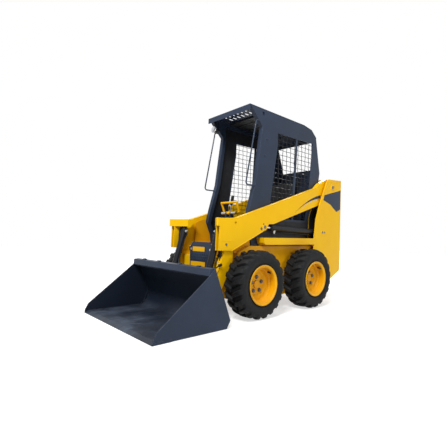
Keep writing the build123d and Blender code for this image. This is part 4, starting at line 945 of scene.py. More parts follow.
arm_seams = joined([
    bead(at_side(ARM_FACE_X, (-0.545, 0.646), (-0.395, 0.640)), 0.0014),
    bead(at_side(ARM_FACE_X, (-0.405, 0.5625), (-0.008, 0.7385)), 0.0022),
    bead(at_side(ARM_FACE_X - 0.001, (0.806, 1.2075), (0.125, 0.985), (-0.350, 0.838)), 0.0022),
])
pair(("arm_stripe_", arm_stripe, "lift_arm", slate_enamel),
     ("arm_stripe_edge_", arm_stripe_edge, "lift_arm", zinc),
     ("arm_fasteners_", arm_steel, "lift_arm", dark_steel),
     ("arm_seams_", arm_seams, "lift_arm", yellow_enamel),
     ("tower_panel_", film(TOWER_PANEL, TOWER_FACE_X), "machine", slate_enamel),
     ("tower_fasteners_", tower_steel, "machine", dark_steel))
print("arm and tower details on both sides")

# %% [markdown]
# ## Cylinder dressing and hydraulic lines
# A cylinder's barrel has a screwed gland with a groove, a port boss at each end and a bent steel line that
# feeds the far port. Its eyes have grease nipples. These ride on the barrel. A pair of rubber hoses in
# clips runs down the front of each leg to plated couplings.

# %% Cylinder parts
TILT_TOP = np.array((-0.450, 0.793))
TILT_ROD_PIN = np.array((-0.6216, 0.2400))
# name, x, base pin, rod pin, barrel radius, length from base pin to gland, whether the ports face along x
CYLINDER_ROWS = [
    ("lift", 0.323, LIFT_BASE, LIFT_ROD_PIN, 0.026, 0.800, False),
    ("tilt", 0.247, TILT_TOP, TILT_ROD_PIN, 0.029, 0.480, True),
]
# distances from the base pin to the near port, and from the far port to the gland
NEAR_PORT, FAR_PORT = 0.075, 0.055
# how far the steel line stands off the barrel: at the ports' mouths, in its bends, beside them, in the middle
LINE_RISE = (0.0192, 0.036, 0.010, 0.008)
LINE_BEND, LINE_START = 0.018, 0.07
LINE_RADIUS = 0.0052
# the first strap's distance from the near port, and the last one's share of the run between the ports
FIRST_STRAP, LAST_STRAP_SHARE = 0.10, 0.86
EYE_RADIUS = 0.024


def fitting(spot, direction, size=0.011):
    """Port boss, hex nut and collar of a plated hydraulic fitting."""
    return studded(spot, direction,
                   (20, [(-0.004, size * 1.15), (0.006, size * 1.15), (0.007, size * 0.9)]),
                   (6, [(0.006, size), (0.017, size), (0.0185, size * 0.85)]),
                   (16, [(0.018, size * 0.7), (0.027, size * 0.7), (0.0275, size * 0.6)]))


def gland(at, radius, tip):
    """Screwed gland on the barrel's end: a ring with a groove and the wiper's lip."""
    inner, outer = radius + 0.001, radius + 0.0034
    return turned(at, tip, [(-0.034, radius + 0.0006), (-0.033, outer), (-0.016, outer), (-0.015, inner),
                            (-0.012, inner), (-0.011, outer), (-0.001, outer), (0.0006, inner)], sides=40)


def strap(at, direction, radius):
    """Thin band round a barrel: a ring with both edges taken off."""
    inner, outer = radius + 0.0006, radius + 0.0016
    band = [(0, inner), (0.0005, outer), (0.0135, outer), (0.014, inner)]
    return turned(at, at + direction, band, sides=32)


def cylinder_parts(x, base, rod_pin, radius, reach, ports_in_x):
    """Gland, ports and steel line in the barrel's own directions: along it, and out towards its ports."""
    flat = (rod_pin - base) / np.linalg.norm(rod_pin - base)
    along = np.array((0, *flat))
    above = np.cross(along, X)
    out = -X if ports_in_x else above * (-1 if above[2] > 0 else 1)
    start = np.array((x, *base))
    end = start + along * reach
    near, far = start + along * NEAR_PORT + out * radius, start + along * (reach - FAR_PORT) + out * radius
    mouth, bend, beside, middle = (out * rise for rise in LINE_RISE)
    corners = [near + mouth, near + bend + along * LINE_BEND, near + beside + along * LINE_START,
               (near + far) / 2 + middle, far + beside - along * LINE_START, far + bend - along * LINE_BEND,
               far + mouth]
    line = tube(smooth_path(corners), LINE_RADIUS, sides=12)
    strap_spots = (FIRST_STRAP, (reach - NEAR_PORT - FAR_PORT) * LAST_STRAP_SHARE)
    straps = [strap(near + along * spot - out * radius, along, radius) for spot in strap_spots]
    nipple = grease_nipple(start + above * EYE_RADIUS, above)
    return {
        "gland_": (gland(end, radius, end + along), black_enamel),
        "ports_": (joined([fitting(near, out), fitting(far, out), nipple]), zinc),
        "line_": (joined([line, *straps]), black_enamel),
    }


for name, *measures in CYLINDER_ROWS:
    for stem, (part, finish) in cylinder_parts(*measures).items():
        pair((name + "_" + stem, part, name + "_barrel_{}", finish))
print("dressed", 2 * len(CYLINDER_ROWS), "cylinders")

# %% Hoses on the legs
LEG_FRONT_Y = -0.478
HOSE_RADIUS = 0.0085
# x of each hose, and how far it leans inwards on its way
HOSE_ROWS = [(0.281, 0.0), (0.303, 0.004)]
# z of each clip, and how much deeper it is
CLIP_ROWS = [(0.640, 0.0), (0.520, 0.005)]
# steps from the leg's front to the hose's middle line, and z, from the nose down
HOSE_LINE = [(0.016, 0.772), (-0.004, 0.740), (-0.0125, 0.682), (-0.012, 0.620), (-0.0145, 0.550),
             (-0.020, 0.495), (-0.0225, 0.455)]


def hose_path(x, lean):
    """A rounded line through a few control points down the leg's front."""
    sideways = (0, 0, -0.002 - lean, 0, 0.002, 0, 0)
    return smooth_path([(x + side, LEG_FRONT_Y + y, z) for side, (y, z) in zip(sideways, HOSE_LINE)])


hose_paths = [hose_path(*row) for row in HOSE_ROWS]
hoses = joined([tube(path, HOSE_RADIUS, sides=12) for path in hose_paths])
couplings = joined([fitting(path[-1] + (0, 0, 0.012), (0, -0.15, -0.985), 0.010) for path in hose_paths]
                   + [fitting(path[0] + (0, 0.004, 0.006), (0, -0.55, -0.82), 0.010) for path in hose_paths])
clips = joined([slab((0.268, LEG_FRONT_Y - 0.022 - deeper, z - 0.007),
                     (0.316, LEG_FRONT_Y + 0.001, z + 0.007)) for z, deeper in CLIP_ROWS])
pair(("leg_hoses_", hoses, "lift_arm", hose_rubber),
     ("leg_couplings_", couplings, "lift_arm", zinc),
     ("leg_clips_", clips, "lift_arm", black_enamel, {"bevel": 0.002}))
print("hoses down", len(SIDES), "legs")

# %% [markdown]
# ## Step plate
# The tread on the cross tube has two plain yellow pads and, between them, rows of punched grip collars:
# each hole's rim is pushed up so that a boot holds on it. A collar is a short ring turned about -Y, and one
# table of places makes them all.

# %% Step plate
STEP_FACE_Y = -0.467
# low x, high x, low z, high z
STEP_PADS = [(-0.112, 0.060, 0.541, 0.583), (-0.140, 0.068, 0.409, 0.449)]
PAD_CORNER = 0.006
COLLAR_ROWS_Z = (0.470, 0.492, 0.514)
COLLAR_PITCH = 0.0255
COLLAR_LIMIT_X = 0.14
COLLAR_RADIUS = 0.0065
# metres out of the plate, radius beyond that of the hole
COLLAR_PROFILE = [(-0.0006, 0.003), (0.001, 0.0016), (0.0026, 0.0005), (0.003, -0.0004), (0.0026, -0.0012),
                  (-0.0006, -0.0014)]


def rounded_box_outline(low_a, high_a, low_b, high_b, corner, steps=5):
    """Rectangle with quarter-round corners: centre of the corner + r * (cos t, sin t)."""
    quarter = np.linspace(0, math.pi / 2, steps)
    outline = []
    for turn, (a, b) in enumerate(((high_a, high_b), (low_a, high_b), (low_a, low_b), (high_a, low_b))):
        centre = np.array((a - corner if a == high_a else a + corner,
                           b - corner if b == high_b else b + corner))
        angle = quarter + turn * math.pi / 2
        outline.append(centre + corner * np.stack([np.cos(angle), np.sin(angle)], axis=1))
    return np.concatenate(outline)


def pushed_xz(outline, near_y, far_y):
    """An (x, z) outline pushed along Y."""
    return pushed(np.asarray(outline)[:, ::-1], near_y, far_y, plane="zx")


def grip_collar(x, z):
    """Ring with a rounded lip about a punched hole, standing out of the plate by 3 mm."""
    profile = [(along, COLLAR_RADIUS + beyond) for along, beyond in COLLAR_PROFILE]
    return turned((x, STEP_FACE_Y, z), (x, STEP_FACE_Y - 1, z), profile, sides=14)


pads = joined([pushed_xz(rounded_box_outline(*pad, PAD_CORNER), STEP_FACE_Y - 0.0012, STEP_FACE_Y + 0.001)
               for pad in STEP_PADS])
collar_places = [(step * COLLAR_PITCH + (row % 2) * COLLAR_PITCH / 2, z)
                 for row, z in enumerate(COLLAR_ROWS_Z) for step in range(-5, 6)]
collars = joined([grip_collar(x, z) for x, z in collar_places if abs(x) < COLLAR_LIMIT_X])
STEP_BOLTS = [(x, STEP_FACE_Y, z) for x in (-0.137, 0.137) for z in (0.395, 0.560)]
piece("step_pads", pads, "lift_arm", bar_yellow)
piece("step_grips", collars, "lift_arm", slate_enamel, smooth=50)
piece("step_bolts", bolt_set(STEP_BOLTS, -Y, 0.009, 0.006), "lift_arm", zinc)
print("step plate:", len(STEP_PADS), "pads,", len(collar_places), "places for collars")

# %% [markdown]
# ## Cab details
# The cab is folded sheet, so its joints show as weld beads and bolt heads. The rear window has a rubber
# trim, the back's two seams are sealed, the sides have a black lining, the ceiling's lining is black as
# painted shade, and the floor has a ribbed mat. Small pieces like these are boxes, beads and heads in joined
# sets, some with rounded edges.

# %% Welds and bolts of the cab
CAB_FACE_X = 0.290
ROOF_Z = 1.867
# y and depth below the roof, along the roof's edge
ROOF_EDGE = [(-0.160, 0.0075), (0.655, 0.012), (0.793, 0.034), (0.882, 0.104)]

cab_bolts = joined([
    bolt_set(at_side(CAB_FACE_X, (0.070, 1.600), (0.050, 1.440)), X, 0.008, 0.005),
    bolt_set(at_side(CAB_FACE_X, (0.040, 0.720), (0.300, 0.720), (0.560, 0.720)), X, 0.009, 0.006),
])
cab_welds = joined([
    bead([(CAB_FACE_X - 0.001, y, ROOF_Z - depth) for y, depth in ROOF_EDGE], 0.0022, steps=3),
    bead(at_side(CAB_FACE_X - 0.0005, *SIDE_WINDOW, SIDE_WINDOW[0]), 0.0020, steps=3),
    bead(at_side(CAB_FACE_X - 0.001, (-0.140, 0.955), (-0.064, 1.207), (0.008, ROOF_Z - 0.170)), 0.0024,
         steps=3),
])
pair(("cab_bolts_", cab_bolts, "machine", slate_enamel),
     ("cab_welds_", cab_welds, "machine", slate_enamel))
print("cab: welds and bolts")

# %% Linings, trim, seals and mat
# y, z of the back panel's outer face at its hip and at its top
BACK_HIP, BACK_TOP_EDGE = (0.960, 1.398), (0.884, 1.759)
# x, z round the rear window
REAR_WINDOW = [(-0.235, 1.735), (0.235, 1.735), (0.204, 1.437), (-0.204, 1.437)]
# y, z of the seams of the back sheet with the roof above it and the bulkhead below it
BACK_SEAMS = [(0.8795, 1.7615), (0.9380, 1.2940)]
SEAM_HALF = 0.2485
# y, z of the linings in front of and above the side window
FRONT_LINING = [(-0.080, 0.650), (-0.088, 0.705), (-0.133, 0.812), (-0.096, 0.952), (-0.018, 1.210),
                (0.050, 1.690), (0.050, 1.812), (0.206, 1.812), (0.206, 1.560), (0.120, 1.062),
                (0.086, 0.850), (0.086, 0.650)]
TOP_LINING = [(0.208, 1.706), (0.208, 1.812), (0.640, 1.808), (0.775, 1.788), (0.838, 1.716)]
LINING_X = 0.2816
LINING_SHEET = 0.0012
CEILING_RIBS_Y = (0.17, 0.34, 0.51)
MAT_RIBS_Y = np.arange(-0.300, 0.140, 0.016)


def back_face_y(z):
    """The back panel's outer face: a straight line from its hip to its top."""
    (low_y, low_z), (high_y, high_z) = BACK_HIP, BACK_TOP_EDGE
    return low_y + (high_y - low_y) * (z - low_z) / (high_z - low_z)


ceiling_ribs = [slab((-0.215, y, ROOF_Z - 0.028), (0.215, y + 0.030, ROOF_Z - 0.020)) for y in CEILING_RIBS_Y]
ceiling = joined([slab((-0.235, 0.075, ROOF_Z - 0.022), (0.235, 0.640, ROOF_Z - 0.009)), *ceiling_ribs])
trim_corners = [(x, back_face_y(z) - 0.003, z) for x, z in [*REAR_WINDOW, REAR_WINDOW[0]]]
window_trim = bead(trim_corners, 0.0065, steps=4)
seals = joined([bead([(-SEAM_HALF, y, z), (SEAM_HALF, y, z)], 0.0046, steps=3) for y, z in BACK_SEAMS])
side_lining = joined([pushed(outline, LINING_X - LINING_SHEET, LINING_X)
                      for outline in (FRONT_LINING, TOP_LINING)])
mat = joined([slab((-0.200, -0.306, 0.3400), (0.200, 0.145, 0.3425))]
             + [slab((-0.196, y, 0.3405), (0.196, y + 0.006, 0.3465)) for y in MAT_RIBS_Y])
# the ceiling's lining is black as painted shade under the roof
piece("ceiling_lining", ceiling, "machine", black_plastic, bevel=0.004)
piece("rear_window_trim", window_trim, "machine", hose_rubber, smooth=60)
piece("back_seals", seals, "machine", hose_rubber, smooth=60)
pair(("side_lining_", side_lining, "machine", black_plastic))
piece("floor_mat", mat, "machine", hose_rubber)
print("cab: linings, trim, seals and mat")

# %% [markdown]
# ## Work lamp
# One round lamp hangs under the roof's right front corner: a pressed steel bowl, a chromed ring, a mirrored
# dish and a domed lens with upright flutes. Bowl, ring and dish are profiles turned about one level axis,
# and the lens is a height above a round grid.

# %% Work lamp
LAMP_RADIUS = 0.034
LAMP_DEPTH = 0.056
LENS_BULGE = 0.006
FLUTE_DEPTH = 0.0005


def fluted_lens(start, direction, radius, flutes=9, rings=7, sides=54):
    """Dome: reach r sin t, bulge 6 mm cos t + 0.5 mm cos(flutes * pi * side / r), closed at the back."""
    first, second = across(direction)
    t = np.linspace(0.02, 1, rings)[:, None] * math.pi / 2
    a = circle_angles(sides)[None, :]
    reach = radius * np.sin(t)
    side, up = (reach * np.cos(a))[..., None] * first, (reach * np.sin(a))[..., None] * second
    bulge = LENS_BULGE * np.cos(t) + FLUTE_DEPTH * np.cos(flutes * math.pi * reach * np.cos(a) / radius)
    front = start + bulge[..., None] * direction + side + up
    back = start - 0.003 * direction + side[-1] + up[-1]
    return outward(np.concatenate([front.reshape(-1, 3), back]), ring_faces(rings + 1, sides))


lamp_low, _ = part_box("work_lamps")
lamp_front = np.array((-0.246, lamp_low[1] + 0.004, lamp_low[2] + 0.034))
lamp_back = lamp_front + (0, LAMP_DEPTH, 0)
# profiles from the lamp's front backwards
BOWL = [(0.002, LAMP_RADIUS - 0.001), (0.012, LAMP_RADIUS - 0.001), (0.026, 0.030), (0.040, 0.021),
        (0.052, 0.0185), (0.0535, 0.012)]
LAMP_RING = [(-0.003, LAMP_RADIUS - 0.005), (-0.0035, LAMP_RADIUS - 0.002), (0.0, LAMP_RADIUS),
             (0.006, LAMP_RADIUS), (0.007, LAMP_RADIUS - 0.003)]
DISH = [(0.0015, LAMP_RADIUS - 0.0045), (0.008, 0.026), (0.016, 0.018), (0.021, 0.008), (0.022, 0.001)]
bowl, lamp_ring, dish = (turned(lamp_front, lamp_back, profile, sides=48)
                         for profile in (BOWL, LAMP_RING, DISH))
lens = fluted_lens(lamp_front - 0.0005 * Y, -Y, LAMP_RADIUS - 0.004)
lamp_x, lamp_y, lamp_z = lamp_front
bracket_top = ROOF_Z - 0.0065
bracket = joined([
    slab((lamp_x - 0.012, lamp_y + 0.012, lamp_z + 0.024), (lamp_x + 0.012, lamp_y + 0.016, bracket_top)),
    slab((lamp_x - 0.003, lamp_y + 0.016, lamp_z + 0.030), (lamp_x + 0.003, lamp_y + 0.030, bracket_top)),
])
# steps from the bowl's back to the lead's control points
LEAD_STEPS = [(0, -0.002, 0), (0, 0.010, 0.004), (0.004, 0.012, 0.030), (0.006, 0.006, 0.060)]
lead_end = (lamp_x + 0.006, lamp_y + 0.050, bracket_top)
lamp_cable = tube(smooth_path([*(lamp_back + step for step in LEAD_STEPS), lead_end]), 0.003, sides=8)
piece("lamp_bowl", joined([bowl, bracket]), "machine", black_enamel, replaced=["work_lamps"])
piece("lamp_ring", lamp_ring, "machine", chrome)
piece("lamp_dish", dish, "machine", chrome, smooth=60)
piece("lamp_lens", lens, "machine", lens_clear, smooth=60)
piece("lamp_cable", lamp_cable, "machine", hose_rubber, smooth=60)
print("work lamp at", np.round(lamp_front, 3).tolist())

# %% [markdown]
# ## Seat cushions
# The seat and its back are moulded foam in vinyl: crowned pads whose sides pull in between the corners,
# with a welt round the edge and sewn channels across. The pad is a rounded box in two parameters: a
# superellipse in plan and another through the thickness. The crown, the waist and the channels are added as
# plain functions of the place.

# %% Seat cushions
PAD_RINGS, PAD_SIDES = 56, 160
# exponents of the superellipses in plan and through the thickness
PLAN_POWER, EDGE_POWER = 0.28, 0.42
CROWN = 0.016
WAIST = 0.03
CHANNEL_WIDTH = 0.006
# place along the pad from -1 to 1, and depth
SEAT_CHANNELS = [(-0.45, 0.006), (0.0, 0.007), (0.45, 0.006)]
WELT_RADIUS = 0.0035
# rings of the pad from its middle to the welt's
WELT_RING = 6
# node, angle that the pad leans back when it stands, or 0 for one that lies
PAD_ROWS = [("seat_pad", "seat_cushion", 0.0), ("back_pad", "seat_backrest", 0.13)]


def power(value, exponent):
    return np.sign(value) * np.abs(value) ** exponent


def pad(half_a, half_b, thick):
    """Point = (a P(cos v) P(cos u), b P(cos v) P(sin u), t P(sin v)) with P(x) = sign(x) |x|^e. The top
    then rises by crown (1 - a^2)(1 - b^2), the sides pull in by waist * cos^2 2u, and channels sink as
    exp(-(d / width)^2)."""
    v = np.linspace(-math.pi / 2, math.pi / 2, PAD_RINGS)[:, None]
    u = circle_angles(PAD_SIDES)[None, :]
    plan = power(np.cos(v), EDGE_POWER)
    a, b = plan * power(np.cos(u), PLAN_POWER), plan * power(np.sin(u), PLAN_POWER)
    waist = 1 - WAIST * np.cos(2 * u) ** 2
    height = thick * power(np.sin(v), EDGE_POWER)
    top = np.clip(np.sin(v), 0, None) ** 0.5
    dip = sum(depth * np.exp(-((b - where) * half_b / CHANNEL_WIDTH) ** 2) for where, depth in SEAT_CHANNELS)
    height = height + top * (CROWN * (1 - a**2) * (1 - b**2) - dip * np.clip(1.15 - a**2, 0, 1))
    return np.stack([a * half_a * waist, b * half_b * waist, height], axis=-1)


def welt(points):
    """A ring of a pad, as the path of its sewn cord, without the points that fall together in its corners."""
    path = points[PAD_RINGS // 2 + WELT_RING]
    path = np.concatenate([path, path[:1]])
    steps = np.linalg.norm(np.diff(path, axis=0), axis=1) > 1e-5
    return tube(path[np.concatenate([[True], steps])], WELT_RADIUS, sides=8)


def seated(low, high, lean):
    """A pad and its welt in a cushion's box. A leaning pad stands up, turned by the lean about X:
    (a, b, t) goes to (a, b sin - t cos, b cos + t sin)."""
    low, high = np.asarray(low), np.asarray(high)
    middle, size = (low + high) / 2, (high - low) / 2
    if lean:
        points = pad(size[0] - 0.004, size[2] - 0.006, size[1] - math.tan(lean) * size[2] - 0.012)
    else:
        points = pad(size[0] - 0.004, size[1] - 0.004, size[2] - 0.014)
    placed = []
    for part_points, faces in ((points, ring_faces(PAD_RINGS, PAD_SIDES)), welt(points)):
        a, b, t = part_points.reshape(-1, 3).T
        if lean:
            b, t = b * math.sin(lean) - t * math.cos(lean), b * math.cos(lean) + t * math.sin(lean)
        placed.append(outward(np.stack([a, b, t], axis=1) + middle, faces))
    return placed


for name, node, lean in PAD_ROWS:
    cushion, cord = seated(*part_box(node), lean)
    made = piece(name, cushion, "machine", seat_vinyl, smooth=80, replaced=[node])
    piece(name + "_welt", cord, "machine", black_plastic, smooth=80)

# %% [markdown]
# ## Levers, consoles and lap bar
# Each hand lever stands in a rubber boot, whose bellows are a wavy profile, and ends in a grip shaped to
# the hand. The consoles carry plain switches. The lap bar's cross tube is bright, with caps on its ends,
# and its loop is yellow.

# %% Levers
LEVER_FOOT = np.array((0.200, 0.052, 0.850))
LEVER_BEND = np.array((0.166, 0.060, 1.010))
LEVER_HEAD = np.array((0.152, 0.066, 1.100))
BOOT_HEIGHT = 0.060
BOOT_FOLDS = 5
# metres along the lever's line, radius: a swelling for the palm, a finger notch below and a rounded head
GRIP = np.array([(-0.004, 0.011), (0.0, 0.0145), (0.010, 0.0155), (0.024, 0.0135), (0.045, 0.0150),
                 (0.066, 0.0158), (0.084, 0.0150), (0.094, 0.0120), (0.099, 0.0065), (0.1, 0.001)])
BUTTON = [(0, 0.006), (0.004, 0.006), (0.005, 0.0045)]


def lever_boot():
    """Bellows: the radius shrinks from 27 to 11 mm over the height, with the folds as a cosine on it."""
    s = np.linspace(0, 1, 31)
    radius = 0.027 - 0.016 * s + 0.0026 * np.cos(s * BOOT_FOLDS * 2 * math.pi)
    profile = np.stack([BOOT_HEIGHT * s, radius], axis=1)
    return turned(LEVER_FOOT + (0, 0, 0.0003), LEVER_BEND, profile, sides=28)


def lever_grip():
    """The grip's profile at 40 equal steps, and a button on its front."""
    along = GRIP[0, 0] + (GRIP[-1, 0] - GRIP[0, 0]) * np.linspace(0, 1, 40)
    profile = np.stack([along, np.interp(along, GRIP[:, 0], GRIP[:, 1])], 1)
    grip = turned(LEVER_BEND - (0, 0.001, 0.006), LEVER_HEAD, profile, sides=24)
    button = turned(LEVER_HEAD - (0, 0.012, 0.020), LEVER_HEAD - (0, 1.0, 0.020), BUTTON, sides=16)
    return joined([grip, button])


lever_stem = tube(smooth_path([LEVER_FOOT + (0, 0, 0.01), LEVER_FOOT + (-0.010, 0.002, 0.06),
                               LEVER_BEND - (-0.010, 0.002, 0.05), LEVER_BEND]), 0.0065, sides=14)
print("lever: boot, stem and grip")

# %% Consoles
# y, z of the thin plate on the console's sloping top
CONSOLE_SLOPE = [(0.093, 0.8498), (0.093, 0.8512), (0.188, 0.8131), (0.188, 0.8117)]
SWITCH_YS = (0.105, 0.145)
SWITCH_X, SWITCH_PITCH, SWITCH_WIDTH = 0.180, 0.015, 0.010


def console_slope(y):
    """Height of the console's sloping top behind the lever: it falls by 0.4 of its run from y 0.090."""
    return 0.850 - (y - 0.090) * 0.4


def switch(x, y):
    """Rocker switch: a wedge, higher at its front, on the slope."""
    outline = [(y, console_slope(y)), (y + 0.001, console_slope(y) + 0.007),
               (y + 0.017, console_slope(y + 0.018) + 0.005), (y + 0.018, console_slope(y + 0.018))]
    return pushed(outline, x, x + SWITCH_WIDTH)


switch_plate = pushed(CONSOLE_SLOPE, 0.172, 0.228)
console_switches = joined([switch(SWITCH_X + step * SWITCH_PITCH, y) for step in range(3) for y in SWITCH_YS])
levers = pair(("lever_boot_", lever_boot(), "machine", hose_rubber, {"smooth": 50}),
              ("lever_stem_", lever_stem, "machine", zinc, {"smooth": 50}),
              ("lever_grip_", lever_grip(), "machine", black_plastic, {"smooth": 50}),
              ("console_top_", switch_plate, "machine", black_plastic, {"bevel": 0.002}),
              ("console_switches_", console_switches, "machine", black_plastic, {"bevel": 0.001}))
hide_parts("control_levers")
print("levers and consoles:", len(levers), "pieces")

# %% Lap bar
BAR_PIVOT = np.array((-0.124, 0.904))
BAR_HALF = 0.110
SLEEVE_START, SLEEVE_END = 0.037, 0.092
SLEEVE_RADIUS, SLEEVE_EDGE = 0.0156, 0.0168
LAP_CAP = [(-0.012, 0.0158), (-0.010, 0.0162), (0.0, 0.0162), (0.001, 0.012)]


def sleeve(low, high):
    """Bright sleeve over the cross tube, rolled at each end: half a profile and its mirror image."""
    half = [(0, 0.0152), (0.001, SLEEVE_EDGE), (0.004, SLEEVE_EDGE), (0.005, SLEEVE_RADIUS)]
    profile = half + [(high - low - along, radius) for along, radius in half[::-1]]
    return turned((low, *BAR_PIVOT), (low + 1, *BAR_PIVOT), profile, sides=32)


sleeves = joined([sleeve(SLEEVE_START, SLEEVE_END), sleeve(-SLEEVE_END, -SLEEVE_START)])
end_caps = joined([turned((sign * (BAR_HALF - 0.001), *BAR_PIVOT), (sign, *BAR_PIVOT), LAP_CAP, sides=28)
                   for _, sign in SIDES])
piece("bar_sleeves", sleeves, "lap_bar", zinc, smooth=50)
piece("bar_end_caps", end_caps, "lap_bar", black_plastic, smooth=50)
print("lap bar dressed")

# %% [markdown]
# ## Black sheets of painted shade behind the arms
# Between each arm and the fender a black sheet, painted shade, closes the view to the engine bay, and the
# cab's side is black below the window as painted shade. They are thin plates, fixed flat to the tower's inner
# plate and to the cab side, so they follow those outlines and stay clear of the arm and its cylinder.

# %% Sheets of painted shade
# y, z
TOWER_SHADE_SHEET = [(0.793, 0.640), (0.793, 0.898), (0.966, 1.284), (1.020, 1.300), (1.020, 0.640)]
CAB_SHADE_SHEET = [(-0.020, 0.688), (0.020, 0.840), (0.690, 0.840), (0.735, 0.880), (0.752, 0.860), (0.742, 0.688)]
TOWER_INNER_X = 0.280
SHADE_SHEET_SINK = 0.0002

# black sheets that paint the shade behind the arm and below the cab's window
tower_shade_sheet = pushed(TOWER_SHADE_SHEET, TOWER_INNER_X - SHADE_SHEET_SINK, TOWER_INNER_X + 0.0022)
cab_shade_sheet = pushed(CAB_SHADE_SHEET, CAB_FACE_X - SHADE_SHEET_SINK, CAB_FACE_X + 0.0016)
pair(("tower_cover_", tower_shade_sheet, "machine", black_plastic),
     ("cab_cover_", cab_shade_sheet, "machine", black_plastic), bevel=0.0006)
print("covers on both sides")

# %% [markdown]
# ## Deck side plates
# In front of the cab's feet a plate stands on each chain case, just inside the arm, and closes the
# footwell's side. Its lower edge follows the case's sloping top and its rear edge the cab pillar.

# %% Deck side plates
# y, z
DECK_PLATE = [(-0.3195, 0.541), (-0.1905, 0.6005), (-0.1185, 0.6005), (-0.1345, 0.698), (-0.1865, 0.810),
              (-0.205, 0.845), (-0.286, 0.822), (-0.312, 0.806)]
DECK_FOOT = [(-0.318, 0.5415), (-0.190, 0.6010), (-0.121, 0.6010)]
DECK_INNER_X, DECK_OUTER_X = 0.273, 0.279

deck_weld = bead(at_side((DECK_INNER_X + DECK_OUTER_X) / 2, *DECK_FOOT), 0.004, steps=3)
deck_plate = joined([pushed(DECK_PLATE, DECK_INNER_X, DECK_OUTER_X), deck_weld])
# the deck plates take the frame's deeper yellow, painted shade
pair(("deck_plate_", deck_plate, "machine", frame_enamel))
print("deck side plates")

# %% [markdown]
# ## Bucket details
# The bucket is welded from plate: a bead runs inside each cheek, under the top beam and along the cutting
# edge, small tabs stand on the beam, and a plate closes the corner between each cheek and the cutting edge.
# Beads follow the plates' own corner points.

# %% The bucket's own lines
_, bucket_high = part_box("bucket_shell")
BUCKET_HALF = bucket_high[0]
BUCKET_SHEET = 0.008
CHEEK_IN_X = BUCKET_HALF - BUCKET_SHEET
LEAN = math.radians(21.5)
# y, z of the heel, and the directions up the back and square off it
HEEL = np.array((-0.620, 0.062))
UP_BACK = np.array((-math.sin(LEAN), math.cos(LEAN)))
OFF_BACK = np.array((math.cos(LEAN), math.sin(LEAN)))
BACK_TOP_Z = 0.455
BACK_TOP = HEEL + UP_BACK * (BACK_TOP_Z - HEEL[1]) / UP_BACK[1]
BEAM_FOOT = BACK_TOP + (-0.040, -0.060)
BACK_FACE = -0.0085
LIP_Y = -1.278
EDGE_BACK_Y = LIP_Y + 0.145
FLOOR_Z = 0.0125


def on_back(height, off):
    """A (y, z) point measured up the bucket's back from its heel and square off it to the rear."""
    return HEEL + UP_BACK * height + OFF_BACK * off


print("bucket: half width", round(BUCKET_HALF, 4), "back top at", np.round(BACK_TOP, 3).tolist())

# %% Bucket details
# y, z of the plate that closes the corner between cheek and cutting edge
CORNER = [(LIP_Y + 0.0025, 0.0035), (LIP_Y + 0.034, 0.0205), (EDGE_BACK_Y, 0.0202), (EDGE_BACK_Y, 0.0245),
          (LIP_Y + 0.0045, 0.0245)]
# y, z from the top of the back
TAB = np.array([(-0.036, -0.0035), (-0.030, 0.0075), (-0.012, 0.0085), (-0.005, -0.0035)])
TAB_XS, TAB_HALF = (-0.403, -0.155, 0.155, 0.403), 0.016
EDGE_BOLT_XS, EDGE_BOLT_Y, EDGE_BOLT_Z = np.linspace(-0.49, 0.49, 7), -1.205, 0.0195
EDGE_BOLT = [(-0.001, 0.0115), (0.0008, 0.0115), (0.0012, 0.0100)]


def cross_bead(y, z, thickness):
    """A bead from cheek to cheek."""
    return bead([(-CHEEK_IN_X, y, z), (CHEEK_IN_X, y, z)], thickness, steps=12)


cheek_line = at_side(CHEEK_IN_X, BEAM_FOOT, on_back(0.33, BACK_FACE), on_back(0.100, BACK_FACE),
                     (-0.705, 0.046), (-0.750, FLOOR_Z), (EDGE_BACK_Y + 0.002, FLOOR_Z))
cheek_weld = bead(cheek_line, 0.0035, steps=3)
welds = joined([cheek_weld, mirrored(cheek_weld), cross_bead(EDGE_BACK_Y + 0.001, 0.0150, 0.0055),
                cross_bead(*(BEAM_FOOT + (0.002, -0.002)), 0.0030)])
corner = pushed(CORNER, CHEEK_IN_X + 0.0002, BUCKET_HALF - 0.0002)
tabs = joined([corner, mirrored(corner)]
              + [pushed(BACK_TOP + TAB, x - TAB_HALF, x + TAB_HALF) for x in TAB_XS])
edge_bolts = joined([studded((x, EDGE_BOLT_Y, EDGE_BOLT_Z), Z, (20, EDGE_BOLT)) for x in EDGE_BOLT_XS])
piece("bucket_welds", welds, "bucket", bucket_enamel, smooth=60)
piece("bucket_tabs", tabs, "bucket", bucket_enamel, bevel=0.0015)
piece("edge_bolts", edge_bolts, "bucket", bucket_enamel, slot_name="edge_steel")
print("bucket: welds, tabs and bolts")

# %% Hitch pins
HITCH_PIVOT = np.array((-0.599, 0.112))
PIN_HEAD = [(-0.001, 0.021), (0.004, 0.021), (0.0055, 0.018)]
# x of the leg's two faces, each with the way its pin head looks
HITCH_FACES = [(0.2705, -1), (0.344, 1)]

hitch_pins = joined([studded((x, *HITCH_PIVOT), way * X, (28, PIN_HEAD)) for x, way in HITCH_FACES]
                    + [grease_nipple((0.3495, *(HITCH_PIVOT + (0.0, 0.006))), X)])
pair(("hitch_pins_", hitch_pins, "bucket", zinc))
print("hitch pins at", HITCH_PIVOT.tolist())

# %% [markdown]
# ## Engine bay covers
# The rear door has a paddle latch, a lock, bolts and a dark wire mesh behind its louvres, and the hood a
# handle and fasteners. Tail lamps are domed red lenses in a black ring.

# %% Rear door
DOOR_FACE_Y = 1.266
MESH_Y = DOOR_FACE_Y - 0.0262
MESH_WIRE = 0.0011
MESH_STEP = 0.02
